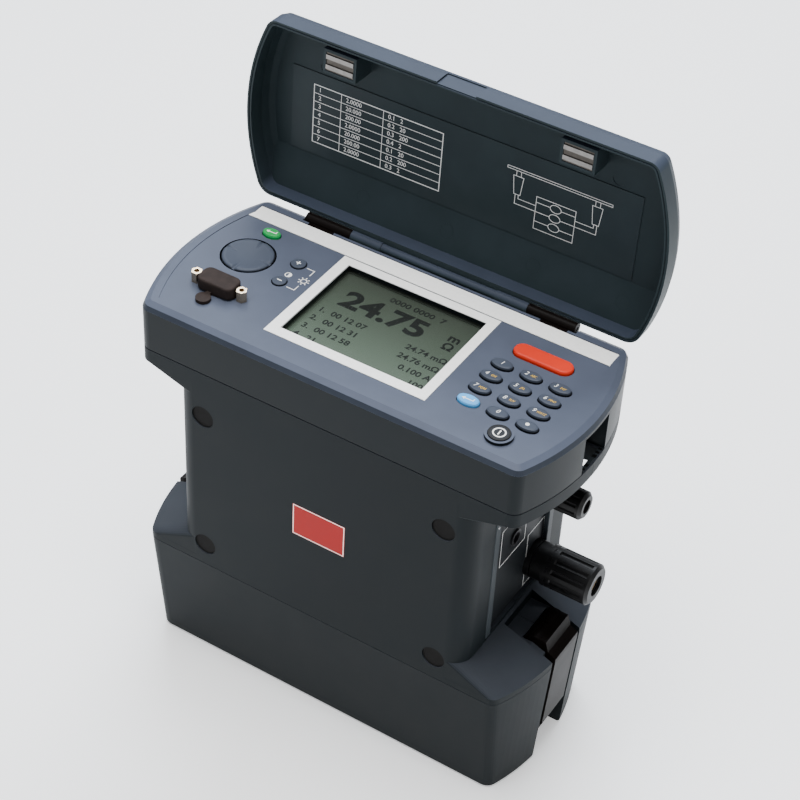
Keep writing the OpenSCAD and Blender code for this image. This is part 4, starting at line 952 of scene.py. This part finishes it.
def cover_cap():
    """Rounded rectangular cap fitted over the serial cover."""
    low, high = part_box("serial_cover")
    skin = 0.05 * MM
    half_l = (high.x - low.x) / 2 - skin
    half_w = 5.45 * MM
    corner = 3.5 * MM
    arc_steps = 8
    rounding = 0.9 * MM
    centre = Vector(((low.x + high.x) / 2, high.y + skin - half_w, low.z + 0.3 * MM))
    outline = []
    for k, (sx, sy) in enumerate(((1, 1), (-1, 1), (-1, -1), (1, -1))):
        for i in range(arc_steps + 1):
            turn = math.pi / 2 * (k + i / arc_steps)
            outline.append((sx * (half_l - corner) + corner * math.cos(turn),
                            sy * (half_w - corner) + corner * math.sin(turn)))
    bm = bmesh.new()
    plane = plane_matrix(centre, ACROSS, BACK)
    add_prism(bm, outline, plane, high.z + skin - centre.z)
    piece = new_piece("cover_cap", bm, "serial_cover_body", ["cover_rubber"])
    round_edges(piece, rounding)


def bow_at(y, inset):
    """Half length of the bowed outline of the head at a depth, drawn in by an inset."""
    half_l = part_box("top_cover")[1].x
    half_depth = 50 * MM
    end_bow = 11.8 * MM
    radius = (half_depth ** 2 + end_bow ** 2) / (2 * end_bow)
    return half_l - radius + math.sqrt((radius - inset) ** 2 - y ** 2)


def white_trim():
    """White strip with ends that follow the head, and sharp white border round the display."""
    low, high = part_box("title_strip")
    skin = 0.02 * MM
    face_t = 0.2 * MM
    end_inset = 4.0 * MM
    rear_gap = 0.4 * MM
    steps = 6
    base = high.z + skin - face_t
    plane = plane_matrix(Vector((0, 0, base)), ACROSS, BACK)
    ys = [low.y + (high.y - rear_gap - low.y) * i / steps for i in range(steps + 1)]
    right = [(bow_at(y, end_inset), y) for y in ys]
    left = [(-x, y) for x, y in reversed(right)]
    bm = bmesh.new()
    add_prism(bm, right + left, plane, face_t)
    new_piece("strip_face", bm, STATIC, ["strip_white"])
    low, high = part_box("display_frame")
    border = 4.85 * MM
    half = border / 2
    rear_y = high.y + 0.45 * MM
    corners = rectangle(low.x + half, low.y + half, high.x - half, rear_y - half)
    bm = bmesh.new()
    add_line(bm, corners, border, plane, closed=True, thick=face_t)
    new_piece("frame_face", bm, STATIC, ["frame_white"])


def lid_ramp():
    """Slope inside the lid from the label down to the hinge side, with its round ejector marks."""
    turn = lid_turn()
    crest, foot = 23 * MM, 42.1 * MM
    crest_inset, foot_inset = 3.6 * MM, 2.1 * MM
    floor_z = 230.45 * MM
    back_z = floor_z + 0.3 * MM
    drop = 7.2 * MM
    steps = 8
    bm = bmesh.new()
    rows, backs = [], []
    for i in range(steps + 1):
        share = i / steps
        y = crest + (foot - crest) * share
        x = bow_at(y, crest_inset + (foot_inset - crest_inset) * share)
        z = floor_z - drop * share
        rows.append([bm.verts.new(turn @ Vector((side * x, y, z))) for side in (-1, 1)])
        backs.append([bm.verts.new(turn @ Vector((side * x, y, back_z))) for side in (-1, 1)])
    for i in range(steps):
        bm.faces.new((rows[i][0], rows[i][1], rows[i + 1][1], rows[i + 1][0]))
        bm.faces.new((backs[i][1], backs[i][0], backs[i + 1][0], backs[i + 1][1]))
        bm.faces.new((rows[i][1], backs[i][1], backs[i + 1][1], rows[i + 1][1]))
        bm.faces.new((backs[i][0], rows[i][0], rows[i + 1][0], backs[i + 1][0]))
    bm.faces.new((rows[0][1], rows[0][0], backs[0][0], backs[0][1]))
    bm.faces.new((rows[-1][0], rows[-1][1], backs[-1][1], backs[-1][0]))
    bmesh.ops.recalc_face_normals(bm, faces=bm.faces)
    new_piece("lid_ramp", bm, LID, ["label_print"])
    slope = math.atan2(drop, foot - crest)
    up = Vector((0, -math.cos(slope), math.sin(slope)))
    middle = Vector((0, (crest + foot) / 2, floor_z - drop / 2))
    plane = turn @ plane_matrix(middle, ACROSS, up)
    mark_r = 3.4 * MM
    mark_w = 0.3 * MM
    first_mark, mark_pitch, marks = -50 * MM, 46 * MM, 4
    bm = bmesh.new()
    for i in range(marks):
        add_line(bm, circle((first_mark + mark_pitch * i, 0), mark_r, 40), mark_w, plane, closed=True)
    new_piece("ejector_marks", bm, LID, ["mark_plastic"])


make_camera()
make_studio()
make_floor()
dress_nodes()
key_prints()
control_prints()
panel_prints()
display_prints()
side_prints()
lid_prints()
badge_border()
cap_rings()
cover_cap()
strap_ladder()
column_beads()
pad_face()
white_trim()
lid_ramp()
